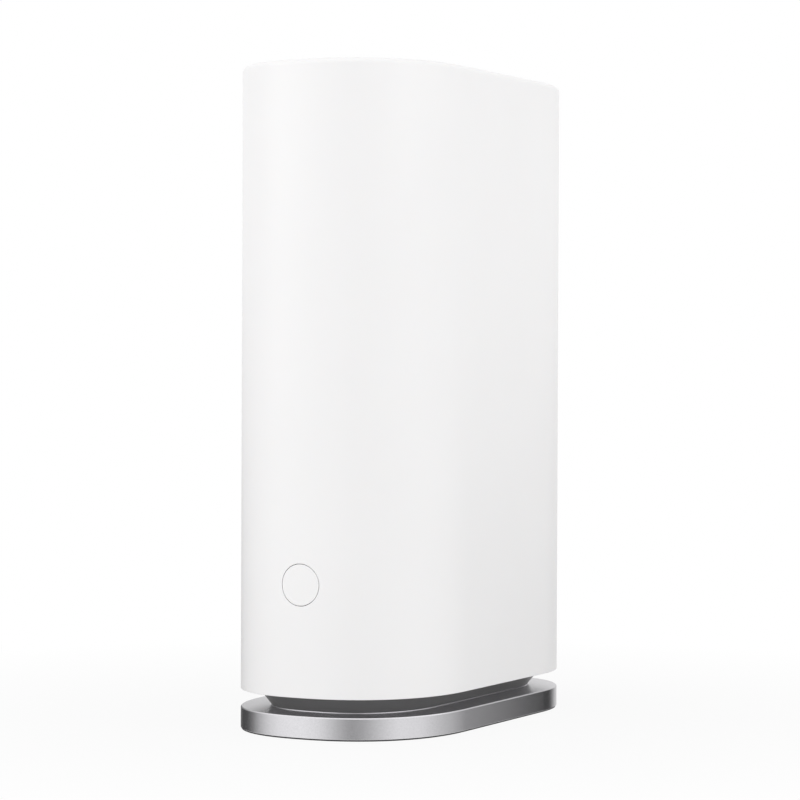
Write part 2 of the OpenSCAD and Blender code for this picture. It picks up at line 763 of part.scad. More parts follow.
// Eight sprung contact wires, bent back from the rear of the mouth
module jack_contacts() {
    wire = 0.4;
    pitch = 1.02;
    color("gold") for (z = jack_zs, i = [-3.5:3.5])
        translate([mouth_x, jack_y - mouth_depth, z + i * pitch - wire / 2]) linear_extrude(wire)
            polygon([[0, 0], [wire, 0], [wire, 7.8], [2, 3], [2.4, 3.2], [wire, 9.4], [0, 9.4]]);
}

transformer = [9, 15, 5.5];
transformer_gap = 3.5;                // from a jack to its transformer

module jack_transformers() {
    color([0.1, 0.1, 0.11]) for (z = jack_zs)
        on_board(jack_y - jack_depth - transformer_gap - transformer[0] / 2, z, transformer);
}

inlet_x = board_x + jack_h / 2;       // in line with the middle of the network sockets
inlet_back = 4.5;                     // of the inlet's block behind its hole
pin_seat = 2;                         // how deep the pin sits in the block
pin_short = 1;                        // how far the pin's tip stays inside the hole

module power_jack() {
    color([0.1, 0.1, 0.11]) difference() {
        block([board_x, jack_y - inlet_depth - inlet_back, inlet_z - inlet_w / 2],
            [board_x + inlet_h, jack_y, inlet_z + inlet_w / 2]);
        rod_y([inlet_x, jack_y - inlet_depth, inlet_z], inlet_d / 2, inlet_depth + eps);
        rod_y([inlet_x, jack_y - inlet_depth - pin_seat, inlet_z], inlet_pin_d / 2, pin_seat + eps);
    }
}

module power_jack_pin() {
    color("silver") rod_y([inlet_x, jack_y - inlet_depth - pin_seat, inlet_z], inlet_pin_d / 2,
        pin_seat + inlet_depth - pin_short);
}

// ---- Reset ----

reset_w = 6;
reset_t = 5;
reset_r = reset_d / 2;
reset_x = inlet_x;
reset_play = 0.3;                     // between the reset button and the panel
reset_tip_y = panel_y - panel_t - reset_play;
reset_spare = 0.5;                    // what still stands out of the switch when it is pressed
reset_out = reset_travel + reset_spare;
reset_seat = 1.2;                     // how deep the reset button sits in its switch at rest
reset_face_y = reset_tip_y - reset_out;
reset_well = reset_seat + reset_travel + well_gap;

module reset_switch() {
    color("black") difference() {
        block([board_x, reset_face_y - reset_t, reset_z - reset_w / 2],
            [reset_x + reset_w / 2, reset_face_y, reset_z + reset_w / 2]);
        rod_y([reset_x, reset_face_y - reset_well, reset_z], reset_r + plunger_play, reset_well + eps);
    }
}

module reset_button() {
    color("ivory") rod_y([reset_x, reset_face_y - reset_seat, reset_z], reset_r, reset_seat + reset_out);
}

// ---- Power parts ----

coil = [10, 10, 5];
coil_pitch = 13;
coil_gap = 7;                         // from the network jacks' rear to the first coil
coil_y = jack_y - jack_depth - coil_gap - coil[0] / 2;
capacitor_r = 4;
capacitor_h = 10;
capacitor_pitch = 10;
capacitor_gap = 4;                    // from the last coil to the first capacitor
capacitor_y = coil_y - coil_pitch - coil[0] / 2 - capacitor_gap - capacitor_r;

module power_coils() {
    color([0.25, 0.25, 0.26]) for (i = [0, 1]) on_board(coil_y - i * coil_pitch, inlet_z, coil);
}

module power_capacitors() {
    color([0.35, 0.36, 0.4]) for (i = [0:2])
        rod_x([board_x, capacitor_y - i * capacitor_pitch, inlet_z], capacitor_r, capacitor_h);
}

// ---- Antennas and their cables ----

antenna_drop = 12;                    // from the frame's top down to the antennas
antenna_z = frame_top_z - antenna_drop - antenna_h / 2;
front_antenna_rise = 90;              // of the front antenna's middle above the button's
front_antenna_z = button_cz + front_antenna_rise;
rear_antenna_w = 2 * rear_post_x + rear_post_w;

module side_antenna(sx) {
    x = side_post_x + frame_t;
    color([0.2, 0.35, 0.25]) translate([sx * (x + antenna_t / 2), side_y, antenna_z])
        cube([antenna_t, antenna_w, antenna_h], center = true);
}

module antenna_front() {
    color([0.2, 0.35, 0.25]) translate([-antenna_w / 2, post_y - antenna_t, front_antenna_z - antenna_h / 2])
        cube([antenna_w, antenna_t, antenna_h]);
}

module antenna_rear() {
    color([0.2, 0.35, 0.25]) translate([-rear_antenna_w / 2, rear_post_y + frame_t, antenna_z - antenna_h / 4])
        cube([rear_antenna_w, antenna_t, antenna_h / 2]);
}

socket_r = 1.6;
socket_h = 1.4;
coax_r = 0.7;
lead_r = 1.1;

// Each antenna cable starts on a socket on the board's rear side
module antenna_sockets() {
    color("gold") for (route = [route_left, route_right, route_front, route_rear])
        rod_x([board_back_x - socket_h, route[0][1], route[0][2]], socket_r, socket_h);
}

function unit(v) = v / norm(v);

// A smooth route through the given points, with a few extra points on each stretch
function smooth(p, steps = 3) = concat(
    [for (i = [0:len(p) - 2], k = [0:steps - 1])
        let (a = p[max(i - 1, 0)], b = p[i], c = p[i + 1], d = p[min(i + 2, len(p) - 1)], s = k / steps)
        b + 0.5 * s * ((c - a) + s * ((2 * a - 5 * b + 4 * c - d) + s * (3 * b - a - 3 * c + d)))],
    [p[len(p) - 1]]);

// A tube of radius r, smooth through the points p, whose ends are square to its first and last
// stretches. Its rings are carried along without twist.
module tube(p, r, sides = 8) {
    route = smooth(p);
    n = len(route);
    last = len(p) - 1;
    along = [for (i = [0:n - 1])
        i == 0 ? unit(p[1] - p[0]) :
        i == n - 1 ? unit(p[last] - p[last - 1]) :
        unit(route[i + 1] - route[i - 1])];
    side = [for (i = 0, u = unit(cross(along[0], [0.3, 0.5, 0.8])); i < n;
        i = i + 1, u = i < n ? unit(u - (u * along[i]) * along[i]) : u) u];
    polyhedron(
        points = [for (i = [0:n - 1], k = [0:sides - 1])
            route[i] + r * (cos(360 * k / sides) * side[i] + sin(360 * k / sides) * cross(along[i], side[i]))],
        faces = concat(
            [[for (k = [0:sides - 1]) k]],
            [for (i = [0:n - 2], k = [0:sides - 1]) let (m = (k + 1) % sides)
                [i * sides + k, (i + 1) * sides + k, (i + 1) * sides + m, i * sides + m]],
            [[for (k = [sides - 1:-1:0]) (n - 1) * sides + k]]));
}

// A place, and stretches of a route as steps from such a place
socket_drop = 17;                     // from the board's top edge down to the antenna sockets
socket_in = 17.4;                     // from the board's front edge to the first of them
socket_pitch = 10;
function socket(i) =
    [board_back_x - socket_h, board_front_y + socket_in + i * socket_pitch, board_top - socket_drop];
function steps_from(place, steps) = [for (s = steps) place + s];

// Round one edge of a side antenna, sy in front (-1) or behind (1), and in to its outer face
feed_rise = 4.6;                      // of a side antenna's feed above its lower end
side_feed = [side_post_x + frame_t + antenna_t, side_y, antenna_z - antenna_h / 2 + feed_rise];
function to_side_antenna(sx, sy) = let (w = side_post_w / 2)
    [for (s = [[-9.8, w - 4, 11], [-6.8, w + 2.5, 3], [-3.8, w + 5, -1], [-0.3, w + 3.5, -3], [2.4, w, -3.5],
        [3.4, w - 4, -2.5], [3.4, 1, -0.8], [2.2, 0, 0], [0, 0, 0]])
        [sx * (side_feed[0] + s[0]), side_feed[1] + sy * s[1], side_feed[2] + s[2]]];

// Routes of the antenna cables, from the board to the antennas
feed_drop = 11.5;                     // of the front antenna's feed below its upper end
front_feed = [0, post_y - antenna_t, front_antenna_z + antenna_h / 2 - feed_drop];
front_post_edge = front_feed - [guide_r, 0, 0];
sink_corner = [sink_tip_x, sink_y - sink_len / 2, board_top - sink_drop];
feed_in = 8;                          // from the rear antenna's edge in to its feed
rear_feed = [feed_in - rear_antenna_w / 2, rear_post_y + frame_t + antenna_t, antenna_z];
rear_post_edge = rear_feed - [feed_in, 0, 0];
rail_rear = [rail_x - frame_t, rail_ys[1], antenna_z];
route_front = concat(
    steps_from(socket(0), [[0, 0, 0], [-2.3, 0, 0], [-5.3, -2, -2], [-7.8, -7, -6], [-8.3, -13, -12],
        [-7.8, -20, -19]]),
    steps_from(front_post_edge, [[-5.2, 13, 14], [-4, 6, 8], [-3, 1.2, 4], [0.2, -2.2, 1.2]]),
    steps_from(front_feed, [[-6, -3.4, 0.3], [-2, -3.2, 0], [0, -2.2, 0], [0, 0, 0]]));
route_right = concat(
    steps_from(socket(1), [[0, 0, 0], [-2.3, 0, 0], [-5.8, -2, 2], [-8.3, -8, 5], [-8.8, -18, 6],
        [-8.3, -26, 6], [-5.3, -32.5, 5.5], [1, -35.5, 4.5], [9, -35, 3.5], [17, -31, 2]]),
    steps_from(sink_corner, [[0.7, -6, 5], [4, 2.5, 1], [5.2, 11, -5]]),
    to_side_antenna(1, -1));
route_left = concat(
    steps_from(socket(2), [[0, 0, 0], [-2.3, 0, 0], [-6.3, 2, -2], [-11.3, 9, -9]]),
    to_side_antenna(-1, 1));
route_rear = concat(
    steps_from(socket(3), [[0, 0, 0], [-2.3, 0, 0], [-4.8, 4, -1], [-7.3, 12, -3], [-8.3, 22, -5]]),
    steps_from(rail_rear, [[-4.2, -7.6, -1.4], [-4.4, 4.4, -1.4], [-5.1, 14.4, -1.4]]),
    steps_from(rear_post_edge, [[-3, -7.6, -1.4], [-3.3, -2.1, -0.9], [-1, 1.8, -0.4], [3.5, 3.2, -0.2]]),
    steps_from(rear_feed, [[-1, 3, 0], [0, 2, 0], [0, 0, 0]]));

// Route of the button's cable, from the plug on its board round the front post to the plug on the
// main board
button_plug_size = [5, 2.9, 4];
board_plug_size = [3.8, 6, 6];
plug_in = 2.4;                        // from the main board's front edge to its plug
plug_rise = 13;                       // from the main board's lower edge up to its plug
plug_gap = 0.5;                       // from the button's guide down to the plug below it
button_plug = [guide_r - 3.25, button_board_y - button_plug_size[1] / 2,
    button_cz - guide_r - plug_gap - button_plug_size[2]];
board_plug = [board_x + board_plug_size[0] / 2, board_front_y + plug_in, board_z + plug_rise];
route_button = concat(
    steps_from(button_plug, [[0, 0, 0], [0, 0, -3], [1.5, 0.1, -5.5], [4.3, 0.8, -7.1], [6.1, 4, -7.5],
        [5.9, 8, -7.5], [3.5, 12.5, -7]]),
    steps_from(board_plug, [[11.4, -11, -3], [6.4, -7.5, -1.4], [2.4, -5, -0.4], [0, -3, 0], [0, 0, 0]]));

module antenna_cable(route) {
    color("black") tube(route, coax_r);
}

module button_cable() {
    color("gray") tube(route_button, lead_r);
}

// The plugs at both ends of the button's cable, each seated on its board
module cable_plugs() {
    color("ivory") {
        translate(button_plug - [button_plug_size[0] / 2, button_plug_size[1] / 2, 0]) cube(button_plug_size);
        translate([board_x, board_plug[1], board_plug[2] - board_plug_size[2] / 2]) cube(board_plug_size);
    }
}

outer_shell();
top_grille();
lower_housing();
base_plate();
foot_pad();
base_screws();
shell_screws();
inner_frame();
frame_screws();
port_panel();
panel_screws();
button_cap();
button_housing();
button_board();
button_screws();
button_switch();
button_plunger();
status_leds();
button_cable();
cable_plugs();
main_board();
board_screws();
processor();
memory_chips();
flash_chip();
thermal_pad();
heat_sink();
heat_sink_screws();
radio_shield(shield_zs[0]);  // radio_shield_lower
radio_shield(shield_zs[1]);  // radio_shield_upper
radio_chips();
antenna_sockets();
side_antenna(-1);  // antenna_left
side_antenna(1);  // antenna_right
antenna_front();
antenna_rear();
antenna_cable(route_left);  // antenna_cable_left
antenna_cable(route_right);  // antenna_cable_right
antenna_cable(route_front);  // antenna_cable_front
antenna_cable(route_rear);  // antenna_cable_rear
color("gold") network_jack(wan_z);  // wan_jack
color("dimgray") network_jack(lan_zs[0]);  // lan_jack_1
color("dimgray") network_jack(lan_zs[1]);  // lan_jack_2
color("dimgray") network_jack(lan_zs[2]);  // lan_jack_3
jack_contacts();
jack_transformers();
power_jack();
power_jack_pin();
reset_switch();
reset_button();
power_coils();
power_capacitors();
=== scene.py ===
"""Looks of a tower wireless router: its shell, button, grille, neck, plate and sockets."""

import json
import logging
import math
from collections.abc import Callable, Iterable, Sequence
from dataclasses import dataclass
from enum import Enum

import bmesh
import bpy
from mathutils import Matrix, Vector
from mathutils.kdtree import KDTree


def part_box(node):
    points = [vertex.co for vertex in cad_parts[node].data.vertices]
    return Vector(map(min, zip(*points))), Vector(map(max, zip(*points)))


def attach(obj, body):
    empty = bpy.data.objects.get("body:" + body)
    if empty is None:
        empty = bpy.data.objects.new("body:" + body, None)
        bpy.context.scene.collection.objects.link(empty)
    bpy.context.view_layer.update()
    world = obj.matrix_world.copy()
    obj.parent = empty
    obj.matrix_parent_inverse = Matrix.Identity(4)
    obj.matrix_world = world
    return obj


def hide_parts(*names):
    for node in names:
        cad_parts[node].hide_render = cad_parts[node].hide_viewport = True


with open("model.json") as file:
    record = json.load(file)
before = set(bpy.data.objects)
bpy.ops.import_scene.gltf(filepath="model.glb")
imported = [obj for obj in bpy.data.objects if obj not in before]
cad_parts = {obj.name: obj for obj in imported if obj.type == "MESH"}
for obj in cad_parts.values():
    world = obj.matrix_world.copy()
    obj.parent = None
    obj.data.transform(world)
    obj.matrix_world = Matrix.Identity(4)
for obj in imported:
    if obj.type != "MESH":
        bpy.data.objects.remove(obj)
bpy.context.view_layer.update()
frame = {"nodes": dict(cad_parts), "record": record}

log = logging.getLogger("router")

MM = 0.001

# Points closer than this are one point.
NEAR = 2e-6

# How far a cutter reaches past what it cuts.
PAST = 1 * MM

# How often a quarter turn is halved in the search for an angle.
HALVINGS = 40

# Points in a ring of a screw boss.
BOSS_SIDES = 32

# Edges flatter than SMOOTH degrees are shaded smooth. Those sharper than SHARP degrees are broken.
SMOOTH = 35.0
SHARP = 40.0

# An edge whose share along an axis is above this runs along it.
PARALLEL = 0.99

WHITE = (1, 1, 1, 1)

Piece = bpy.types.Object
Pair = tuple[float, float]
Ring = list[Vector]
Colour = tuple[float, float, float]
Socket = bpy.types.NodeSocket
Inputs = dict[str | int, object]


# ---- Plan of the tower ----


class End(Enum):
    """The two rounded ends of the plan: the nose carries the button, the tail carries the sockets."""

    NOSE = -1
    TAIL = 1


def signed_power(value: float, power: float) -> float:
    """Raises the size of a value to a power and keeps its sign."""
    return math.copysign(abs(value) ** power, value)


def turn_where(short: Callable[[float], bool]) -> float:
    """Halves a quarter turn again and again.

    Args:
        short: Tells whether an angle is still too small.

    Returns:
        The largest angle that is, in radians.
    """
    low, high = 0.0, math.pi / 2
    for _ in range(HALVINGS):
        middle = (low + high) / 2
        if short(middle):
            low = middle
        else:
            high = middle
    return low


@dataclass(frozen=True)
class Plan:
    """Outline of the tower from above: two straight sides between a rounded nose and tail."""

    half_w: float = 43.5 * MM
    nose_len: float = 51 * MM
    side_len: float = 68 * MM
    tail_len: float = 45 * MM
    end_power: float = 2.3
    end_steps: int = 40
    side_steps: int = 12

    @property
    def side_y(self) -> float:
        """Middle of the straight sides."""
        return (self.nose_len - self.tail_len) / 2

    def end_point(self, end: End, turn: float, inset: float) -> Pair:
        """Finds a point on a rounded end.

        Args:
            end: Nose or tail.
            turn: Angle from the middle line, from -90 to 90 degrees, in radians.
            inset: How far the point is moved in, square to the outline.

        Returns:
            The point's x and y.
        """
        length = self.nose_len if end is End.NOSE else self.tail_len
        x = self.half_w * signed_power(math.sin(turn), 2 / self.end_power)
        out = length * signed_power(max(math.cos(turn), 0.0), 2 / self.end_power)
        slope_x = signed_power(x / self.half_w, self.end_power - 1) / self.half_w
        slope_out = signed_power(out / length, self.end_power - 1) / length
        size = math.hypot(slope_x, slope_out)
        reach = self.side_len / 2 + out - inset * slope_out / size
        return x - inset * slope_x / size, self.side_y + end.value * reach

    def column(self, end: End, step: int, inset: float) -> Pair:
        """Gives the point of a rounded end that is a number of steps from its middle."""
        return self.end_point(end, math.pi / 2 * step / self.end_steps, inset)

    def face_y(self, end: End, x: float, inset: float) -> float:
        """Finds how far out a rounded end is at a distance from the middle line.

        Args:
            end: Nose or tail.
            x: Distance from the middle line.
            inset: How far the outline is moved in.

        Returns:
            The y of the outline there.
        """
        turn = turn_where(lambda angle: self.end_point(end, angle, inset)[0] < abs(x))
        return self.end_point(end, turn, inset)[1]

    def ring(self, inset: float, z: float) -> Ring:
        """Walks once round the outline.

        Args:
            inset: How far the ring is moved in from the outline.
            z: Height of the ring.

        Returns:
            Its points, from the left side round the nose, the right side and the tail.
        """
        n = self.end_steps
        spots = [self.column(End.NOSE, step, inset) for step in range(-n, n + 1)]
        rise = self.side_len / self.side_steps
        low = self.side_y - self.side_len / 2
        for step in range(1, self.side_steps):
            spots.append((self.half_w - inset, low + step * rise))
        spots += [self.column(End.TAIL, step, inset) for step in range(n, -n - 1, -1)]
        for step in range(self.side_steps - 1, 0, -1):
            spots.append((inset - self.half_w, low + step * rise))
        return [Vector((x, y, z)) for x, y in spots]

    def rings(self, *spots: Pair) -> list[Ring]:
        """Walks round the outline once for each pair of an inset and a height."""
        return [self.ring(inset, z) for inset, z in spots]


PLAN = Plan()


# ---- Bench: the few moves that shape a piece ----


def deselect_all() -> None:
    """Leaves nothing selected."""
    bpy.ops.object.select_all(action="DESELECT")


def pick_only(piece: Piece) -> None:
    """Selects one piece and makes it active.

    Args:
        piece: The piece.
    """
    deselect_all()
    piece.select_set(True)
    bpy.context.view_layer.objects.active = piece


def named(piece: Piece, name: str) -> Piece:
    """Gives a piece and its mesh one name.

    Args:
        piece: The piece.
        name: Its name.

    Returns:
        The same piece.
    """
    piece.name = name
    piece.data.name = name
    return piece


def circle(radius: float, count: int, place: Callable[[float, float], Vector]) -> Ring:
    """Lays points on a circle.

    Args:
        radius: Radius of the circle.
        count: Number of points.
        place: Turns the two coordinates in the circle's plane into a point.

    Returns:
        The points in order.
    """
    turns = [2 * math.pi * i / count for i in range(count)]
    return [place(radius * math.cos(turn), radius * math.sin(turn)) for turn in turns]


def upright(spot: Vector, profile: Iterable[Pair]) -> list[Ring]:
    """Lays level rings round an upright line, one for each pair of a radius and a height."""
    return [circle(radius, BOSS_SIDES, lambda a, b, z=z: spot + Vector((a, b, z)))
            for radius, z in profile]


@dataclass(frozen=True)
class Fillet:
    """A rounded edge of a piece: the ring that it lies on, its radius and its number of faces."""

    ring: int
    radius: float
    segments: int


class Bench:
    """A piece in edit mode, shaped ring by ring and edge by edge."""

    def __init__(self, name: str, ring: Ring) -> None:
        """Starts a piece as an open loop on a ring of points.

        Args:
            name: Name of the piece.
            ring: Where the points of the loop lie, in order.
        """
        deselect_all()
        bpy.ops.mesh.primitive_circle_add(vertices=len(ring), radius=10 * MM, location=(0, 0, 0))
        self.piece = named(bpy.context.object, name)
        self.edit()
        for vert, point in zip(self.mesh().verts, ring):
            vert.co = point
        self.update()

    def edit(self) -> None:
        """Opens the piece in edit mode."""
        pick_only(self.piece)
        bpy.ops.object.mode_set(mode="EDIT")
        bpy.ops.mesh.select_mode(type="VERT")

    def mesh(self) -> bmesh.types.BMesh:
        """Gives the mesh that is being edited."""
        return bmesh.from_edit_mesh(self.piece.data)

    def update(self) -> None:
        """Shows the edited mesh to the next operator."""
        bmesh.update_edit_mesh(self.piece.data)

    def pick_points(self, points: Ring) -> None:
        """Selects the vertices that lie on these points, and the edges between them.

        Args:
            points: The points.
        """
        bpy.ops.mesh.select_mode(type="VERT")
        bpy.ops.mesh.select_all(action="DESELECT")
        tree = tree_of(points)
        bm = self.mesh()
        for vert in bm.verts:
            vert.select = tree.find(vert.co)[2] < NEAR
        bm.select_flush(True)
        self.update()

    def pick_faces(self, test: Callable[[Vector, Vector], bool]) -> None:
        """Selects the faces whose middle and normal pass a test.

        Args:
            test: Tells from a face's middle and normal whether it is selected.
        """
        bpy.ops.mesh.select_mode(type="FACE")
        bpy.ops.mesh.select_all(action="DESELECT")
        bm = self.mesh()
        for face in bm.faces:
            face.select = test(face.calc_center_median(), face.normal)
        bm.select_flush(False)
        self.update()

    def pull(self, start: Ring, goal: Ring) -> None:
        """Extrudes the selected open loop and sets it on a new ring.

        Args:
            start: Where the loop lies.
            goal: Where each of its points goes, in the same order.
        """
        bpy.ops.mesh.extrude_edges_move()
        tree = tree_of(start)
        for vert in self.mesh().verts:
            if vert.select:
                vert.co = goal[tree.find(vert.co)[1]]
        self.update()

    def through(self, rings: Sequence[Ring]) -> None:
        """Pulls the loop on the first ring through all the others.

        Args:
            rings: The rings in order, the first with the loop on it.
        """
        self.pick_points(rings[0])
        for start, goal in zip(rings, rings[1:]):
            self.pull(start, goal)

    def cap(self, ring: Ring) -> None:
        """Closes the open loop on a ring with one flat face."""
        self.pick_points(ring)
        bpy.ops.mesh.edge_face_add()

    def bridge(self, one: Ring, other: Ring) -> None:
        """Joins two open loops with a band of faces."""
        self.pick_points(one + other)
        bpy.ops.mesh.bridge_edge_loops()

    def round_edge(self, ring: Ring, radius: float, segments: int) -> None:
        """Rounds the sharp loop that lies on a ring."""
        self.pick_points(ring)
        bpy.ops.mesh.bevel(offset=radius, segments=segments, profile=0.5, affect="EDGES")

    def close(self, smooth: float = SMOOTH) -> Piece:
        """Leaves edit mode with faces that point outwards and soft shading.

        Args:
            smooth: Edges flatter than this many degrees are shaded smooth.

        Returns:
            The finished piece.
        """
        bpy.ops.mesh.select_all(action="SELECT")
        bpy.ops.mesh.normals_make_consistent(inside=False)
        bpy.ops.object.mode_set(mode="OBJECT")
        even_shading(self.piece, smooth)
        return self.piece


def solid(name: str, rings: Sequence[Ring], fillets: Sequence[Fillet] = (),
          smooth: float = SMOOTH) -> Piece:
    """Makes a closed piece from a row of rings.

    Args:
        name: Name of the piece.
        rings: Its rings in order; the first and the last are closed with a flat face.
        fillets: Its rounded edges, in the order in which they are made.
        smooth: Edges flatter than this many degrees are shaded smooth.

    Returns:
        The finished piece.
    """
    bench = Bench(name, rings[0])
    bench.through(rings)
    bench.cap(rings[0])
    bench.cap(rings[-1])
    for fillet in fillets:
        bench.round_edge(rings[fillet.ring], fillet.radius, fillet.segments)
    return bench.close(smooth)


def tree_of(points: Ring) -> KDTree:
    """Sorts points so that the nearest one is found at once.

    Args:
        points: The points.

    Returns:
        A tree that gives the index and the distance of the nearest one.
    """
    tree = KDTree(len(points))
    for index, point in enumerate(points):
        tree.insert(point, index)
    tree.balance()
    return tree


def use_modifier(piece: Piece, kind: str, **settings: object) -> None:
    """Adds a modifier with these settings and applies it at once.

    Args:
        piece: The piece.
        kind: The modifier's type.
        **settings: Its settings.
    """
    pick_only(piece)
    modifier = piece.modifiers.new(kind.title(), kind)
    for name, value in settings.items():
        setattr(modifier, name, value)
    bpy.ops.object.modifier_apply(modifier=modifier.name)


def even_shading(piece: Piece, smooth: float) -> None:
    """Shades a piece smooth up to an angle, and lets its large faces stay flat beside its fillets.

    Args:
        piece: The piece.
        smooth: Edges flatter than this many degrees are shaded smooth.
    """
    pick_only(piece)
    bpy.ops.object.shade_smooth_by_angle(angle=math.radians(smooth))
    use_modifier(piece, "WEIGHTED_NORMAL", keep_sharp=True, weight=50)


def block(name: str, low: Sequence[float], high: Sequence[float], corner: float = 0.0,
          axis: str = "Y", segments: int = 5) -> Piece:
    """Makes a block, with the four edges along one axis rounded.

    Args:
        name: Name of the block.
        low: Its lowest corner.
        high: Its highest corner.
        corner: Radius of the rounded edges.
        axis: The axis that they run along.
        segments: Faces in each rounded edge.

    Returns:
        The block, with its place in its mesh.
    """
    deselect_all()
    bpy.ops.mesh.primitive_cube_add(size=1, location=(Vector(low) + Vector(high)) / 2)
    piece = named(bpy.context.object, name)
    piece.scale = Vector(high) - Vector(low)
    bpy.ops.object.transform_apply(location=True, rotation=True, scale=True)
    if corner > 0:
        along = "XYZ".index(axis)
        bpy.ops.object.mode_set(mode="EDIT")
        bpy.ops.mesh.select_mode(type="EDGE")
        bpy.ops.mesh.select_all(action="DESELECT")
        bm = bmesh.from_edit_mesh(piece.data)
        for edge in bm.edges:
            run = edge.verts[1].co - edge.verts[0].co
            edge.select = abs(run.normalized()[along]) > PARALLEL
        bmesh.update_edit_mesh(piece.data)
        bpy.ops.mesh.bevel(offset=corner, segments=segments, profile=0.5, affect="EDGES")
        bpy.ops.object.mode_set(mode="OBJECT")
    return piece


def rod(name: str, foot: Sequence[float], axis: str, radius: float, length: float,
        sides: int = 40) -> Piece:
    """Makes a round bar that starts at a point and runs along an axis.

    Args:
        name: Name of the bar.
        foot: Middle of its first end.
        axis: Y or Z.
        radius: Its radius.
        length: Its length.
        sides: Faces round it.

    Returns:
        The bar, with its place in its mesh.
    """
    turn = (math.pi / 2, 0, 0) if axis == "Y" else (0, 0, 0)
    middle = Vector(foot)
    middle["XYZ".index(axis)] += length / 2
    deselect_all()
    bpy.ops.mesh.primitive_cylinder_add(
        vertices=sides, radius=radius, depth=length, location=middle, rotation=turn)
    piece = named(bpy.context.object, name)
    bpy.ops.object.transform_apply(location=True, rotation=True, scale=True)
    return piece


def copy_of(piece: Piece, name: str, step: Sequence[float]) -> Piece:
    """Copies a piece with its own mesh, moved by a step in its mesh.

    Args:
        piece: The piece.
        name: The copy's name.
        step: How far the copy is moved.

    Returns:
        The copy.
    """
    twin = piece.copy()
    twin.data = piece.data.copy()
    named(twin, name)
    twin.data.transform(Matrix.Translation(Vector(step)))
    bpy.context.scene.collection.objects.link(twin)
    return twin


def joined(pieces: Sequence[Piece], name: str) -> Piece:
    """Joins several pieces into the first one.

    Args:
        pieces: The pieces, of which the others are used up.
        name: Name of the whole.

    Returns:
        The first piece, which now holds them all.
    """
    pick_only(pieces[0])
    for piece in pieces[1:]:
        piece.select_set(True)
    if len(pieces) > 1:
        bpy.ops.object.join()
    return named(pieces[0], name)


def cut(piece: Piece, tools: Sequence[Piece], how: str = "DIFFERENCE") -> None:
    """Cuts a piece with some tools, which are used up.

    Args:
        piece: The piece.
        tools: What it is cut with, none of them touching another.
        how: DIFFERENCE takes the tools away, INTERSECT keeps what lies in them.
    """
    tool = joined(tools, "tool")
    use_modifier(piece, "BOOLEAN", object=tool, operation=how, solver="EXACT")
    bpy.data.objects.remove(tool)


def break_edges(piece: Piece, width: float) -> None:
    """Rounds every sharp edge of a piece and evens its shading.

    Args:
        piece: The piece.
        width: Width of the rounding.
    """
    use_modifier(piece, "BEVEL", width=width, segments=2, limit_method="ANGLE",
                 angle_limit=math.radians(SHARP), use_clamp_overlap=True, harden_normals=False)
    even_shading(piece, SMOOTH)


# ---- Finishes ----


@dataclass(frozen=True)
class Marks:
    """How the marks of a grain lie: their scale, the finer marks on top and their stretch."""

    scale: float
    detail: float
    stretch: tuple[float, float, float] = (1.0, 1.0, 1.0)


class Grain(Enum):
    """How a surface is broken up at its smallest scale.

    Spark is a fine mould texture, blast is even bead blasting, drawn has fine lines from rolling or
    drawing, and plain is smooth from the mould or the bath.
    """

    SPARK = Marks(1.0, 2.0)
    BLAST = Marks(1.0, 4.0)
    DRAWN = Marks(1.0, 3.0, (1.0, 0.04, 1.0))
    PLAIN = Marks(0.125, 1.0)


class Tree:
    """A node tree, of a material or of the room, that nodes are added to."""

    def __init__(self, tree: bpy.types.NodeTree) -> None:
        """Takes up a tree."""
        self.tree = tree

    def add(self, kind: str, inputs: Inputs | None = None, **settings: object) -> bpy.types.Node:
        """Adds a node.

        Args:
            kind: Its type, without the leading ShaderNode.
            inputs: Values or sockets for its inputs.
            **settings: Properties of the node itself.

        Returns:
            The node.
        """
        node = self.tree.nodes.new("ShaderNode" + kind)
        for name, value in settings.items():
            setattr(node, name, value)
        for name, value in (inputs or {}).items():
            if isinstance(value, Socket):
                self.tree.links.new(value, node.inputs[name])
            else:
                node.inputs[name].default_value = value
        return node

    def seen(self) -> Socket:
        """Tells the rays that look at the room from the rays that only carry its light.

        Returns:
            One for a ray from the eye, a gloss or a clear part, and zero for a lighting ray.
        """
        path = self.add("LightPath").outputs
        value = path["Is Camera Ray"]
        for name in ("Is Glossy Ray", "Is Transmission Ray"):
            value = self.add("Math", {0: value, 1: path[name]}, operation="MAXIMUM").outputs[0]
        return value


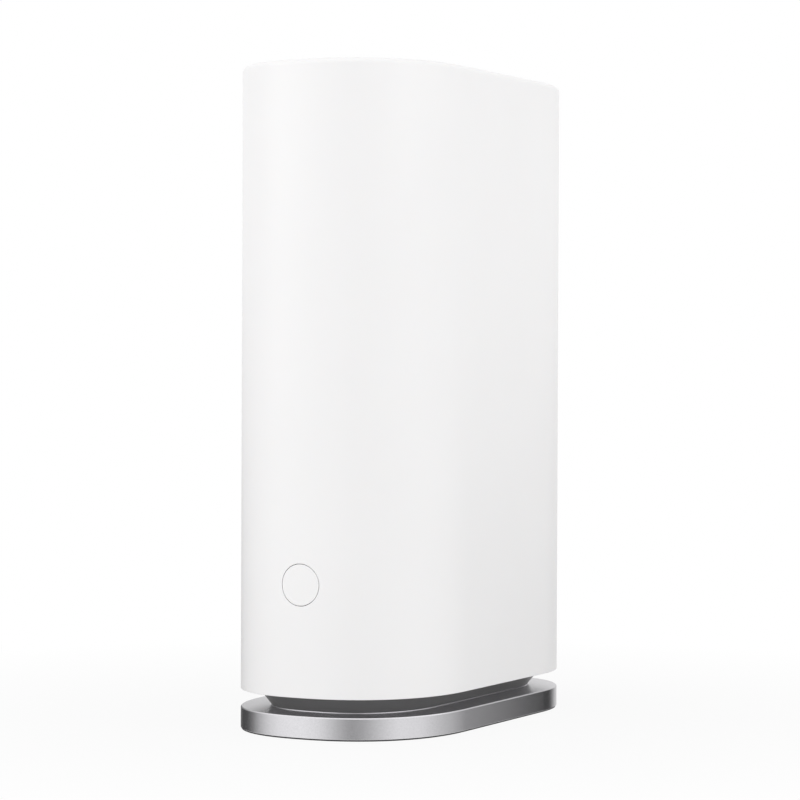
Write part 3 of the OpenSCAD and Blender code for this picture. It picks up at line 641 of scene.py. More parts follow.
class Nodes(Tree):
    """The node tree of one material."""

    def __init__(self, name: str) -> None:
        """Starts a material with a Principled shader.

        Args:
            name: Name of the material.
        """
        self.material = bpy.data.materials.new(name)
        self.material.use_nodes = True
        super().__init__(self.material.node_tree)
        self.shader = self.tree.nodes["Principled BSDF"]
        self.place = self.add("TexCoord").outputs["Object"]

    def noise(self, scale: float, detail: float, stretch: Sequence[float] = (1, 1, 1)) -> Socket:
        """Adds noise on the piece's own coordinates.

        Args:
            scale: Waves in a metre.
            detail: Finer waves on top.
            stretch: How the three directions are scaled.

        Returns:
            The noise value.
        """
        mapped = self.add("Mapping", {"Vector": self.place, "Scale": stretch}).outputs["Vector"]
        inputs = {"Vector": mapped, "Scale": scale, "Detail": detail}
        return self.add("TexNoise", inputs).outputs["Fac"]

    def between(self, value: Socket, low: float, high: float, band: Pair = (0.3, 0.7)) -> Socket:
        """Maps a band of a value to the range from low to high.

        Args:
            value: The value.
            low: What the low end of the band becomes.
            high: What its high end becomes.
            band: The band of the value that is used.

        Returns:
            The mapped value.
        """
        node = self.add("MapRange", {"Value": value, "From Min": band[0], "From Max": band[1],
                                     "To Min": low, "To Max": high})
        return node.outputs["Result"]

    def blend(self, share: Socket, one: Colour, other: Colour) -> Socket:
        """Mixes two colours by a share.

        Args:
            share: How much of the second colour there is.
            one: The first colour.
            other: The second colour.

        Returns:
            The mixed colour.
        """
        node = self.add("Mix", {0: share}, data_type="RGBA")
        node.inputs[6].default_value = (*one, 1)
        node.inputs[7].default_value = (*other, 1)
        return node.outputs[2]

    def bump(self, height: Socket, depth: float) -> Socket:
        """Turns a height into a bent normal."""
        inputs = {"Height": height, "Distance": depth, "Strength": 1.0}
        return self.add("Bump", inputs).outputs["Normal"]

    def link(self, socket: Socket, name: str) -> None:
        """Feeds one of the shader's sockets."""
        self.tree.links.new(socket, self.shader.inputs[name])

    def put(self, name: str, value: object) -> None:
        """Sets one of the shader's sockets to a fixed value."""
        self.shader.inputs[name].default_value = value

    def show(self, surface: Socket) -> None:
        """Makes the material show something else than its shader alone."""
        self.tree.links.new(surface, self.tree.nodes["Material Output"].inputs["Surface"])


def shaded(colour: Colour, share: float) -> Colour:
    """Makes a colour lighter or darker by a share."""
    return tuple(min(channel * share, 1.0) for channel in colour)


@dataclass(frozen=True)
class Finish:
    """A surface with a base colour, faint clouds in it, and a grain that the light catches."""

    name: str
    colour: Colour
    roughness: float
    grain: Grain = Grain.SPARK
    grain_waves: float = 5200.0
    grain_depth: float = 4e-6
    clouds: float = 0.03
    cloud_waves: float = 22.0
    metallic: float = 0.0
    coat: float = 0.0
    coat_roughness: float = 0.2
    rough_band: Pair = (0.9, 1.12)

    def material(self) -> bpy.types.Material:
        """Builds the material.

        Returns:
            The material, which every piece of this finish shares.
        """
        known = bpy.data.materials.get("finish_" + self.name)
        if known is not None:
            return known
        nodes = Nodes("finish_" + self.name)
        cloud = nodes.between(nodes.noise(self.cloud_waves, detail=3.0), 0.0, 1.0)
        marks = self.grain.value
        grain = nodes.noise(self.grain_waves * marks.scale, marks.detail, marks.stretch)
        darker, lighter = shaded(self.colour, 1 - self.clouds), shaded(self.colour, 1 + self.clouds)
        tone = nodes.blend(cloud, darker, lighter)
        nodes.link(self.detail_colour(nodes, tone), "Base Color")
        smoother, rougher = (self.roughness * share for share in self.rough_band)
        nodes.link(nodes.between(grain, smoother, rougher), "Roughness")
        nodes.link(nodes.bump(grain, self.grain_depth), "Normal")
        nodes.put("Metallic", self.metallic)
        nodes.put("Coat Weight", self.coat)
        nodes.put("Coat Roughness", self.coat_roughness)
        self.extras(nodes)
        return nodes.material

    def detail_colour(self, nodes: Nodes, tone: Socket) -> Socket:
        """Adds what is printed or etched on the surface, which a plain finish has none of."""
        return tone

    def extras(self, nodes: Nodes) -> None:
        """Sets what only some finishes have."""


@dataclass(frozen=True)
class WarmedPlastic(Finish):
    """White moulded plastic that lets a little light in."""

    depth: float = 0.6 * MM
    depth_share: float = 0.05
    depth_colour: Colour = (1.0, 0.85, 0.7)

    def extras(self, nodes: Nodes) -> None:
        """Lets the light in a little way.

        Args:
            nodes: The material that is built.
        """
        nodes.put("Subsurface Weight", self.depth_share)
        nodes.put("Subsurface Radius", self.depth_colour)
        nodes.put("Subsurface Scale", self.depth)


@dataclass(frozen=True)
class PrintedBoard(Finish):
    """Circuit board: solder mask over copper tracks, with bare pads."""

    track: Colour = (0.05, 0.28, 0.12)
    track_pitch: float = 1.9 * MM
    track_width: float = 0.16
    track_run: float = 9
    field_waves: float = 34.0
    field_band: Pair = (0.48, 0.52)

    def detail_colour(self, nodes: Nodes, tone: Socket) -> Socket:
        """Draws tracks as lighter bands under the mask.

        Args:
            nodes: The material that is built.
            tone: Colour of the mask.

        Returns:
            The colour with the tracks in it.
        """
        mapped = nodes.add("Mapping", {"Vector": nodes.place, "Rotation": (0, math.pi / 2, 0)})
        brick = nodes.add("TexBrick", {
            "Vector": mapped.outputs["Vector"], "Scale": 1.0, "Row Height": self.track_pitch,
            "Mortar Size": self.track_pitch * self.track_width, "Mortar Smooth": 0.1,
            "Brick Width": self.track_pitch * self.track_run,
            "Color1": (0, 0, 0, 1), "Color2": (0, 0, 0, 1), "Mortar": WHITE})
        where = nodes.between(nodes.noise(self.field_waves, detail=0.0), 0.0, 1.0, self.field_band)
        both = {0: brick.outputs["Fac"], 1: where}
        share = nodes.add("Math", both, operation="MULTIPLY").outputs[0]
        mix = nodes.add("Mix", {0: share, 6: tone}, data_type="RGBA")
        mix.inputs[7].default_value = (*self.track, 1)
        return mix.outputs[2]


@dataclass(frozen=True)
class ClearLens(Finish):
    """Clear cast resin over a light."""

    clearness: float = 0.6
    bending: float = 1.5

    def extras(self, nodes: Nodes) -> None:
        """Lets light through."""
        nodes.put("Transmission Weight", self.clearness)
        nodes.put("IOR", self.bending)


SHELL_WHITE = WarmedPlastic("shell_white", (0.902, 0.896, 0.898), 0.38, clouds=0.006,
                            grain_depth=2.2e-6)
BUTTON_WHITE = WarmedPlastic("button_white", (0.902, 0.896, 0.898), 0.36, clouds=0.006,
                             grain_depth=1.8e-6)
GRILLE_GREY = Finish("grille_grey", (0.5, 0.505, 0.51), 0.5, clouds=0.02)
TRIM_DARK = Finish("trim_dark", (0.19, 0.188, 0.19), 0.32, clouds=0.05)
PLATE_METAL = Finish("plate_metal", (0.838, 0.83, 0.856), 0.21, Grain.BLAST, 7000.0, 3e-6, 0.025,
                     cloud_waves=1300.0, metallic=1.0)
FOOT_RUBBER = Finish("foot_rubber", (0.03, 0.03, 0.031), 0.75, clouds=0.15, grain_depth=1.2e-5,
                     grain_waves=2600.0)
SCREW_STEEL = Finish("screw_steel", (0.56, 0.555, 0.54), 0.3, Grain.BLAST, 3000.0, 2e-6, 0.06,
                     metallic=1.0)
FRAME_PLASTIC = Finish("frame_plastic", (0.62, 0.625, 0.63), 0.5, clouds=0.02)
PANEL_PLASTIC = Finish("panel_plastic", (0.5, 0.505, 0.515), 0.48, clouds=0.02, grain_depth=7e-6)
BOARD_GREEN = PrintedBoard("board_green", (0.02, 0.16, 0.07), 0.32, Grain.PLAIN, coat=0.3)
CHIP_BLACK = Finish("chip_black", (0.022, 0.022, 0.024), 0.5, clouds=0.1)
IVORY_PLASTIC = Finish("ivory_plastic", (0.72, 0.68, 0.56), 0.4, Grain.PLAIN)
LED_LENS = ClearLens("led_lens", (0.9, 0.9, 0.84), 0.15, Grain.PLAIN)
CABLE_GREY = Finish("cable_grey", (0.3, 0.3, 0.31), 0.5, clouds=0.05)
CABLE_BLACK = Finish("cable_black", (0.02, 0.02, 0.021), 0.42, clouds=0.1)
PAD_GREY = Finish("pad_grey", (0.34, 0.42, 0.5), 0.7, clouds=0.08, grain_depth=1.2e-5)
SINK_ALUMINIUM = Finish("sink_aluminium", (0.66, 0.665, 0.67), 0.34, Grain.DRAWN, 2600.0, 6e-6,
                        0.04, metallic=1.0)
SHIELD_STEEL = Finish("shield_steel", (0.62, 0.615, 0.6), 0.28, Grain.DRAWN, 2200.0, 4e-6, 0.05,
                      metallic=1.0)
CONTACT_GOLD = Finish("contact_gold", (0.83, 0.6, 0.24), 0.22, Grain.PLAIN, metallic=1.0)
ANTENNA_BOARD = PrintedBoard("antenna_board", (0.035, 0.07, 0.055), 0.35, Grain.PLAIN,
                             track=(0.4, 0.2, 0.08), track_pitch=4 * MM)
WAN_PLASTIC = Finish("wan_jack_plastic", (0.72, 0.5, 0.05), 0.42, clouds=0.04)
LAN_PLASTIC = Finish("lan_jack_plastic", (0.035, 0.035, 0.038), 0.42, clouds=0.1)
COIL_GREY = Finish("coil_grey", (0.1, 0.1, 0.105), 0.6, Grain.BLAST, 3000.0, 9e-6, 0.12)
CAPACITOR_SLEEVE = Finish("capacitor_sleeve", (0.04, 0.05, 0.11), 0.22, Grain.PLAIN, coat=0.4)

FINISHES: dict[str, Finish] = {finish.name: finish for finish in (
    SHELL_WHITE, BUTTON_WHITE, GRILLE_GREY, TRIM_DARK, PLATE_METAL, FOOT_RUBBER, SCREW_STEEL,
    FRAME_PLASTIC, PANEL_PLASTIC, BOARD_GREEN, CHIP_BLACK, IVORY_PLASTIC, LED_LENS, CABLE_GREY,
    CABLE_BLACK, PAD_GREY, SINK_ALUMINIUM, SHIELD_STEEL, CONTACT_GOLD, ANTENNA_BOARD,
    WAN_PLASTIC, LAN_PLASTIC, COIL_GREY, CAPACITOR_SLEEVE)}


def dress(piece: Piece, finish: Finish, body: str, *nodes: str) -> None:
    """Gives a piece its finish and its place in the frame.

    Args:
        piece: The finished piece.
        finish: Its finish, named like the record's slot.
        body: The body that it rides on.
        *nodes: The nodes that it stands for.
    """
    piece.data.materials.clear()
    piece.data.materials.append(finish.material())
    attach(piece, body)
    if nodes:
        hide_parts(*nodes)
    log.info("%s: %d faces, %s", piece.name, len(piece.data.polygons), finish.name)


# ---- Openings in the wall ----


@dataclass(frozen=True)
class Patch:
    """A rectangle of the wall's grid that an opening is made in."""

    end: End
    columns: int
    rows: tuple[float, ...]

    def edge(self, inset: float) -> list[Pair]:
        """Walks round the patch on the skin of the wall at an inset.

        Args:
            inset: How far the skin lies in from the outline.

        Returns:
            The x and z of its points, from its lower left corner.
        """
        steps = range(-self.columns, self.columns + 1)
        across = [PLAN.column(self.end, step, inset)[0] for step in steps]
        low, high = self.rows[0], self.rows[-1]
        walk = [(x, low) for x in across[:-1]]
        walk += [(across[-1], z) for z in self.rows[:-1]]
        walk += [(x, high) for x in reversed(across[1:])]
        walk += [(across[0], z) for z in reversed(self.rows[1:])]
        return walk


@dataclass(frozen=True)
class RoundHole:
    """A round opening."""

    z: float
    radius: float

    def loop(self, patch: Patch) -> list[Pair]:
        """Walks round the hole with as many points as its patch has.

        Args:
            patch: The patch that makes way for it.

        Returns:
            The x and z of its points, in the order of the patch's edge.
        """
        across, up = 2 * patch.columns, len(patch.rows) - 1
        turns: list[float] = []
        for side, count in enumerate((across, up, across, up)):
            turns += [math.radians(225 + 90 * (side + i / count)) for i in range(count)]
        return [(self.radius * math.cos(t), self.z + self.radius * math.sin(t)) for t in turns]


@dataclass(frozen=True)
class SlabHole:
    """A tall opening with rounded corners."""

    half_w: float
    low: float
    high: float
    corner: float
    corner_steps: int = 3

    def loop(self, patch: Patch) -> list[Pair]:
        """Walks round the opening with as many points as its patch has.

        Args:
            patch: The patch that makes way for it.

        Returns:
            The x and z of its points, in the order of the patch's edge.
        """
        n = self.corner_steps
        inner = self.half_w - self.corner
        straight = 2 * (patch.columns - n)
        xs = [-inner + 2 * inner * i / straight for i in range(straight + 1)]
        zs = list(patch.rows[n:-n])
        arcs = []
        foot, head = self.low + self.corner, self.high - self.corner
        for index, (sx, z) in enumerate(((-1, foot), (1, foot), (1, head), (-1, head))):
            first = math.radians(180 + 90 * index)
            turns = [first + math.pi / 4 * i / n for i in range(2 * n + 1)]
            arcs.append([(sx * inner + self.corner * math.cos(t), z + self.corner * math.sin(t))
                         for t in turns])
        walk = arcs[0][n:] + [(x, self.low) for x in xs[1:-1]]
        walk += arcs[1] + [(self.half_w, z) for z in zs[1:-1]]
        walk += arcs[2] + [(x, self.high) for x in reversed(xs[1:-1])]
        walk += arcs[3] + [(-self.half_w, z) for z in reversed(zs[1:-1])] + arcs[0][:n]
        return walk


RECESS = SlabHole(19 * MM, 30.2 * MM, 139.7 * MM, 4 * MM)


def on_wall(end: End, inset: float, spots: Iterable[Pair]) -> Ring:
    """Lays x and z pairs on one skin of the wall."""
    return [Vector((x, PLAN.face_y(end, x, inset), z)) for x, z in spots]


# ---- Shell ----


@dataclass
class Shell:
    """The one-piece white housing, open below and in its top, with a button hole and a recess."""

    low: float = 15.2 * MM
    high: float = 250 * MM
    wall: float = 2.6 * MM
    rim: float = 9.5 * MM
    edge: float = 2 * MM
    low_edge: float = 0.25 * MM
    lip: float = 0.3 * MM
    button_z: float = 56.8 * MM
    hole_r: float = 7.87 * MM
    hole_edge: float = 0.1 * MM
    patch_half: float = 14 * MM
    patch_columns: int = 7
    recess_margin: float = 3 * MM
    recess_columns: int = 12
    high_band: float = 8 * MM
    bands: int = 8
    recess: SlabHole = RECESS
    recess_edge: float = 0.35 * MM
    boss_r: float = 3.2 * MM
    boss_bore: float = 1.1 * MM
    boss_h: float = 12 * MM
    boss_z: float = 19.3 * MM
    boss_end: float = 1 * MM
    boss_inset: float = 4.8 * MM

    def button_rows(self) -> list[float]:
        """Heights of the rings behind and in front of the button.

        Returns:
            The heights, from the lowest.
        """
        low = self.button_z - self.patch_half
        count = 2 * self.patch_columns
        return [low + 2 * self.patch_half * i / count for i in range(count + 1)]

    def recess_rows(self) -> list[float]:
        """Heights of the rings beside the socket recess.

        Returns:
            The heights, from the lowest.
        """
        slab = self.recess
        n = slab.corner_steps
        foot, head = slab.low + slab.corner, slab.high - slab.corner
        button = self.button_rows()
        spread = [(foot + button[0]) / 2]
        above = [button[-1] + (head - button[-1]) * i / self.bands for i in range(1, self.bands + 1)]
        reach = slab.corner + self.recess_margin
        corner = [slab.low - self.recess_margin + reach * i / n for i in range(n + 1)]
        top = [head + reach * i / n for i in range(1, n + 1)]
        return corner + spread + button + above + top

    def build(self) -> Piece:
        """Models the shell.

        Returns:
            The shell as one closed solid with its inner bosses.
        """
        rows = self.recess_rows()
        rise = self.high - self.high_band - rows[-1]
        top = [rows[-1] + rise * i / self.bands for i in range(1, self.bands + 1)]
        heights = [self.low, *rows, *top]
        outer = [PLAN.ring(0, z) for z in [*heights, self.high]]
        ceiling = self.high - self.wall
        rim = PLAN.rings((self.rim, self.high), (self.rim, ceiling))
        inner = [PLAN.ring(self.wall, z) for z in [ceiling, *reversed(heights)]]
        bench = Bench("shell", outer[0])
        bench.through(outer + rim + inner)
        bench.bridge(inner[-1], outer[0])
        self.open_button_hole(bench)
        self.open_recess(bench, tuple(rows))
        bench.round_edge(outer[-1], self.edge, segments=8)
        bench.round_edge(outer[0], self.low_edge, segments=6)
        bench.round_edge(rim[0], self.lip, segments=3)
        shell = bench.close()
        return joined([shell, *self.bosses()], "shell")

    def open_hole(self, bench: Bench, patch: Patch, hole: RoundHole | SlabHole, steps: int) -> Ring:
        """Opens both skins of the wall over a patch and lines the hole between them.

        Args:
            bench: The shell in edit mode.
            patch: The faces that make way for the hole.
            hole: Shape of the hole.
            steps: Bands of faces between the patch's edge and the hole.

        Returns:
            The hole's loop on the outer skin.
        """
        loops = []
        for inset in (0.0, self.wall):
            edge = patch.edge(inset)
            self.drop_faces(bench, patch, inset, abs(edge[0][0]))
            goal = hole.loop(patch)
            rings = []
            for step in range(steps + 1):
                share = step / steps
                spots = [(a[0] + (b[0] - a[0]) * share, a[1] + (b[1] - a[1]) * share)
                         for a, b in zip(edge, goal)]
                rings.append(on_wall(patch.end, inset, spots))
            bench.through(rings)
            loops.append(rings[-1])
        bench.bridge(loops[0], loops[1])
        return loops[0]

    def drop_faces(self, bench: Bench, patch: Patch, inset: float, reach: float) -> None:
        """Deletes the faces of one skin of the wall inside a patch.

        Args:
            bench: The shell in edit mode.
            patch: The patch.
            inset: How far the skin lies in from the outline.
            reach: Half the width of the patch on this skin.
        """
        low, high = patch.rows[0], patch.rows[-1]

        def inside(middle: Vector, _normal: Vector) -> bool:
            """Tells whether a face lies in the patch, on this skin.

            Args:
                middle: Middle of the face.
                _normal: The face's normal, which makes no difference.

            Returns:
                Whether the face goes.
            """
            if not (low < middle.z < high and abs(middle.x) < reach):
                return False
            return abs(middle.y - PLAN.face_y(patch.end, middle.x, inset)) < self.wall / 3

        bench.pick_faces(inside)
        bpy.ops.mesh.delete(type="FACE")

    def open_button_hole(self, bench: Bench) -> None:
        """Makes the round hole that the button fills.

        Args:
            bench: The shell in edit mode.
        """
        patch = Patch(End.NOSE, self.patch_columns, tuple(self.button_rows()))
        outer = self.open_hole(bench, patch, RoundHole(self.button_z, self.hole_r), steps=4)
        bench.round_edge(outer, self.hole_edge, segments=3)

    def open_recess(self, bench: Bench, rows: tuple[float, ...]) -> None:
        """Makes the tall opening round the sockets.

        Args:
            bench: The shell in edit mode.
            rows: Heights of the rings beside the recess.
        """
        patch = Patch(End.TAIL, self.recess_columns, rows)
        outer = self.open_hole(bench, patch, self.recess, steps=2)
        bench.round_edge(outer, self.recess_edge, segments=3)

    def bosses(self) -> list[Piece]:
        """Models the four screw bosses inside the wall's lower edge.

        Returns:
            The bosses.
        """
        x = PLAN.half_w - self.boss_inset
        return [self.boss(Vector((sx * x, PLAN.side_y + sy * PLAN.side_len / 2, 0)))
                for sx in (-1, 1) for sy in (-1, 1)]

    def boss(self, spot: Vector) -> Piece:
        """Models one boss with its bore, open below.

        Args:
            spot: Foot of its middle line.

        Returns:
            The boss.
        """
        top = self.boss_z + self.boss_h
        return solid("boss", upright(spot, (
            (self.boss_r * 0.5, top), (self.boss_r, top), (self.boss_r, self.boss_z),
            (self.boss_bore, self.boss_z), (self.boss_bore, top - self.boss_end))))

    def make(self) -> None:
        """Builds and dresses the shell."""
        dress(self.build(), SHELL_WHITE, "tower", "outer_shell")


# ---- Front button ----


@dataclass
class FrontButton:
    """The round push-button: a cap that follows the nose, with a flange and a stem behind it."""

    z: float = 56.8 * MM
    radius: float = 7.65 * MM
    setback: float = 0.02 * MM
    edge: float = 0.16 * MM
    face_t: float = 2 * MM
    wall: float = 1.6 * MM
    flange_r: float = 8.85 * MM
    flange_y: float = -78.527 * MM
    flange_t: float = 1.2 * MM
    stem_r: float = 1.8 * MM
    stem_out: float = 1 * MM
    face_rings: tuple[float, ...] = (0.06, 0.2, 0.4, 0.6, 0.8, 0.92, 1)
    sides: int = 96

    def face(self, radius: float) -> Ring:
        """Lays a ring of the cap's face, which follows the nose."""
        return circle(radius, self.sides, lambda a, b: Vector(
            (a, PLAN.face_y(End.NOSE, a, 0) + self.setback, self.z + b)))

    def flat(self, radius: float, y: float) -> Ring:
        """Lays a ring of the cap's flat back."""
        return circle(radius, self.sides, lambda a, b: Vector((a, y, self.z + b)))

    def build(self) -> Piece:
        """Models the cap.

        Returns:
            The cap as one closed solid.
        """
        tip = PLAN.face_y(End.NOSE, 0, 0)
        back = self.flange_y + self.flange_t
        inner = self.radius - self.wall
        face = [self.face(self.radius * share) for share in self.face_rings]
        behind, end = tip + self.face_t, back + self.stem_out
        rest = [self.flat(radius, y) for radius, y in (
            (self.radius, self.flange_y), (self.flange_r, self.flange_y), (self.flange_r, back),
            (inner, back), (inner, behind), (self.stem_r, behind), (self.stem_r, end),
            (self.stem_r * 0.3, end))]
        return solid("button", face + rest, [Fillet(len(face) - 1, self.edge, segments=4)])

    def make(self) -> None:
        """Builds and dresses the button."""
        dress(self.build(), BUTTON_WHITE, "front_button", "button_cap")


# ---- Top grille ----


@dataclass
class TopGrille:
    """The slotted cover in the top opening: two columns of slots beside a middle rib."""

    z: float = 245.4 * MM
    flange_t: float = 2 * MM
    flange_inset: float = 3.2 * MM
    top_z: float = 248.8 * MM
    inset: float = 9.8 * MM
    border: float = 4 * MM
    slot_w: float = 3 * MM
    slot_round: float = 0.98
    pitch: float = 6.5 * MM
    rib: float = 3 * MM
    count: int = 9
    edge: float = 0.3 * MM

    def half_reach(self, y: float) -> float:
        """Finds how far from the middle a slot may run at a place along the tower.

        Args:
            y: The place along the tower.

        Returns:
            Half the width that the slots may use there.
        """
        inset = self.inset + self.border
        end = End.NOSE if y < PLAN.side_y else End.TAIL
        out = (y - PLAN.side_y) * end.value
        if out <= PLAN.side_len / 2:
            return PLAN.half_w - inset
        turn = turn_where(lambda angle: abs(PLAN.end_point(end, angle, inset)[1] - PLAN.side_y) > out)
        return PLAN.end_point(end, turn, inset)[0]

    def cutters(self) -> list[Piece]:
        """Makes a round-ended cutter for each slot.

        Returns:
            The cutters.
        """
        made = []
        for index in range(-self.count, self.count + 1):
            y = index * self.pitch
            half = self.slot_w / 2
            reach = min(self.half_reach(y - half), self.half_reach(y + half))
            for sx in (-1, 1):
                near, far = sx * self.rib / 2, sx * reach
                low = (min(near, far), y - half, self.z - PAST)
                high = (max(near, far), y + half, self.top_z + PAST)
                made.append(block("slot", low, high, half * self.slot_round, "Z", segments=6))
        return made

    def build(self) -> Piece:
        """Models the grille.

        Returns:
            The grille as one closed solid.
        """
        shelf = self.z + self.flange_t
        grille = solid("grille", PLAN.rings((self.flange_inset, self.z), (self.flange_inset, shelf),
                                            (self.inset, shelf), (self.inset, self.top_z)))
        cut(grille, self.cutters())
        break_edges(grille, self.edge)
        return grille

    def make(self) -> None:
        """Builds and dresses the grille."""
        dress(self.build(), GRILLE_GREY, "tower", "top_grille")


# ---- Base ----


@dataclass
class Base:
    """The dark waisted neck under the shell, the metal plate and its rubber foot."""

    foot_t: float = 0.6 * MM
    foot_inset: float = 0.35 * MM
    foot_edge: float = 0.15 * MM
    groove: Pair = (4 * MM, 5.5 * MM)
    groove_h: float = 0.2 * MM
    plate_t: float = 8 * MM
    chamfer: float = 0.4 * MM
    low_chamfer: float = 0.08 * MM
    plate_edge: float = 0.06 * MM
    plate_smooth: float = 20.0
    rise_inset: float = 6.5 * MM
    rise: float = 0.36 * MM
    boss_h: float = 0.56 * MM
    boss_inset: float = 11.6 * MM
    neck_z: float = 9.16 * MM
    neck_low_inset: float = 11.75 * MM
    neck_high_inset: float = 6.2 * MM
    neck_wall: float = 2.5 * MM
    neck_edge: float = 0.15 * MM
    floor_z: float = 16 * MM
    floor_t: float = 3 * MM
    floor_inset: float = 2.9 * MM
    screw_x: float = 24.2 * MM
    screw_span: float = 30 * MM
    screw_hole: float = 1.7 * MM
    head_hole: float = 3.3 * MM
    head_h: float = 3.6 * MM
    boss_r: float = 4.8 * MM
    boss_bore: float = 1.5 * MM
    intake_w: float = 2 * MM
    intake_len: float = 5 * MM
    intake_round: float = 0.48
    intake_count: int = 7
    intake_pitch: float = 8 * MM

    def screw_spots(self) -> list[Pair]:
        """Gives the x and y of the four base screws."""
        return [(sx * self.screw_x, PLAN.side_y + sy * self.screw_span)
                for sx in (-1, 1) for sy in (-1, 1)]

    def foot(self) -> Piece:
        """Models the rubber foot, with a shallow groove round its underside.

        Returns:
            The foot as one closed solid.
        """
        out = self.foot_inset
        near, far = (out + edge for edge in self.groove)
        rings = PLAN.rings((out, self.foot_t), (out, 0), (near, 0), (near, self.groove_h),
                           (far, self.groove_h), (far, 0))
        return solid("foot", rings, [Fillet(1, self.foot_edge, segments=2)])

    def plate(self) -> Piece:
        """Models the metal plate with its chamfers, its slight rise to the neck and the screw holes.

        Returns:
            The plate as one closed solid.
        """
        low, high = self.foot_t, self.foot_t + self.plate_t
        rings = PLAN.rings((self.low_chamfer, low), (0, low + self.low_chamfer),
                           (0, high - self.chamfer), (self.chamfer, high), (self.rise_inset, high),
                           (self.boss_inset, high + self.rise), (self.boss_inset, high + self.boss_h))
        fillets = [Fillet(2, self.plate_edge, segments=2), Fillet(3, self.plate_edge, segments=2),
                   Fillet(-1, self.plate_edge / 2, segments=2)]
        plate = solid("plate", rings, fillets, self.plate_smooth)
        for radius, depth in ((self.screw_hole, self.plate_t + PAST), (self.head_hole, self.head_h)):
            cut(plate, [rod("hole", (x, y, low - PAST), "Z", radius, depth + PAST)
                        for x, y in self.screw_spots()])
        even_shading(plate, self.plate_smooth)
        return plate

    def neck(self) -> Piece:
        """Models the lower housing: the tapered neck under a floor with air slots.

        Returns:
            The neck with its bosses.
        """
        roof = self.floor_z + self.floor_t
        inner_low = self.neck_low_inset + self.neck_wall
        inner_high = self.neck_high_inset + self.neck_wall
        rings = PLAN.rings((inner_low, self.neck_z), (self.neck_low_inset, self.neck_z),
                           (self.neck_high_inset, self.floor_z), (self.floor_inset, self.floor_z),
                           (self.floor_inset, roof))
        hollow = PLAN.rings((inner_low, self.neck_z), (inner_high, self.floor_z))
        bench = Bench("neck", rings[0])
        bench.through(rings)
        bench.cap(rings[-1])
        bench.through(hollow)
        bench.cap(hollow[-1])
        neck = bench.close()
        cut(neck, self.intakes())
        break_edges(neck, self.neck_edge)
        return joined([neck, *self.neck_bosses()], "neck")

    def neck_bosses(self) -> list[Piece]:
        """Models the four bosses that the base screws turn into.

        Returns:
            The bosses, each a tube.
        """
        made = []
        for x, y in self.screw_spots():
            rings = upright(Vector((x, y, 0)), (
                (self.boss_r, self.floor_z), (self.boss_r, self.neck_z),
                (self.boss_bore, self.neck_z), (self.boss_bore, self.floor_z)))
            bench = Bench("boss", rings[0])
            bench.through(rings)
            bench.bridge(rings[0], rings[-1])
            made.append(bench.close())
        return made

    def intakes(self) -> list[Piece]:
        """Makes the cutters for the air slots in the floor's overhang.

        Returns:
            The cutters.
        """
        x = PLAN.half_w - (self.floor_inset + self.neck_high_inset) / 2
        half_w, half_len = self.intake_w / 2, self.intake_len / 2
        made = []
        for sx in (-1, 1):
            for index in range(self.intake_count):
                y = PLAN.side_y + (index - (self.intake_count - 1) / 2) * self.intake_pitch
                low = (sx * x - half_w, y - half_len, self.floor_z - PAST)
                high = (sx * x + half_w, y + half_len, self.floor_z + self.floor_t + PAST)
                made.append(block("slot", low, high, self.intake_w * self.intake_round, "Z"))
        return made

    def make(self) -> None:
        """Builds and dresses the three parts."""
        dress(self.foot(), FOOT_RUBBER, "tower", "foot_pad")
        dress(self.plate(), PLATE_METAL, "tower", "base_plate")
        dress(self.neck(), TRIM_DARK, "tower", "lower_housing")


# ---- Sockets ----


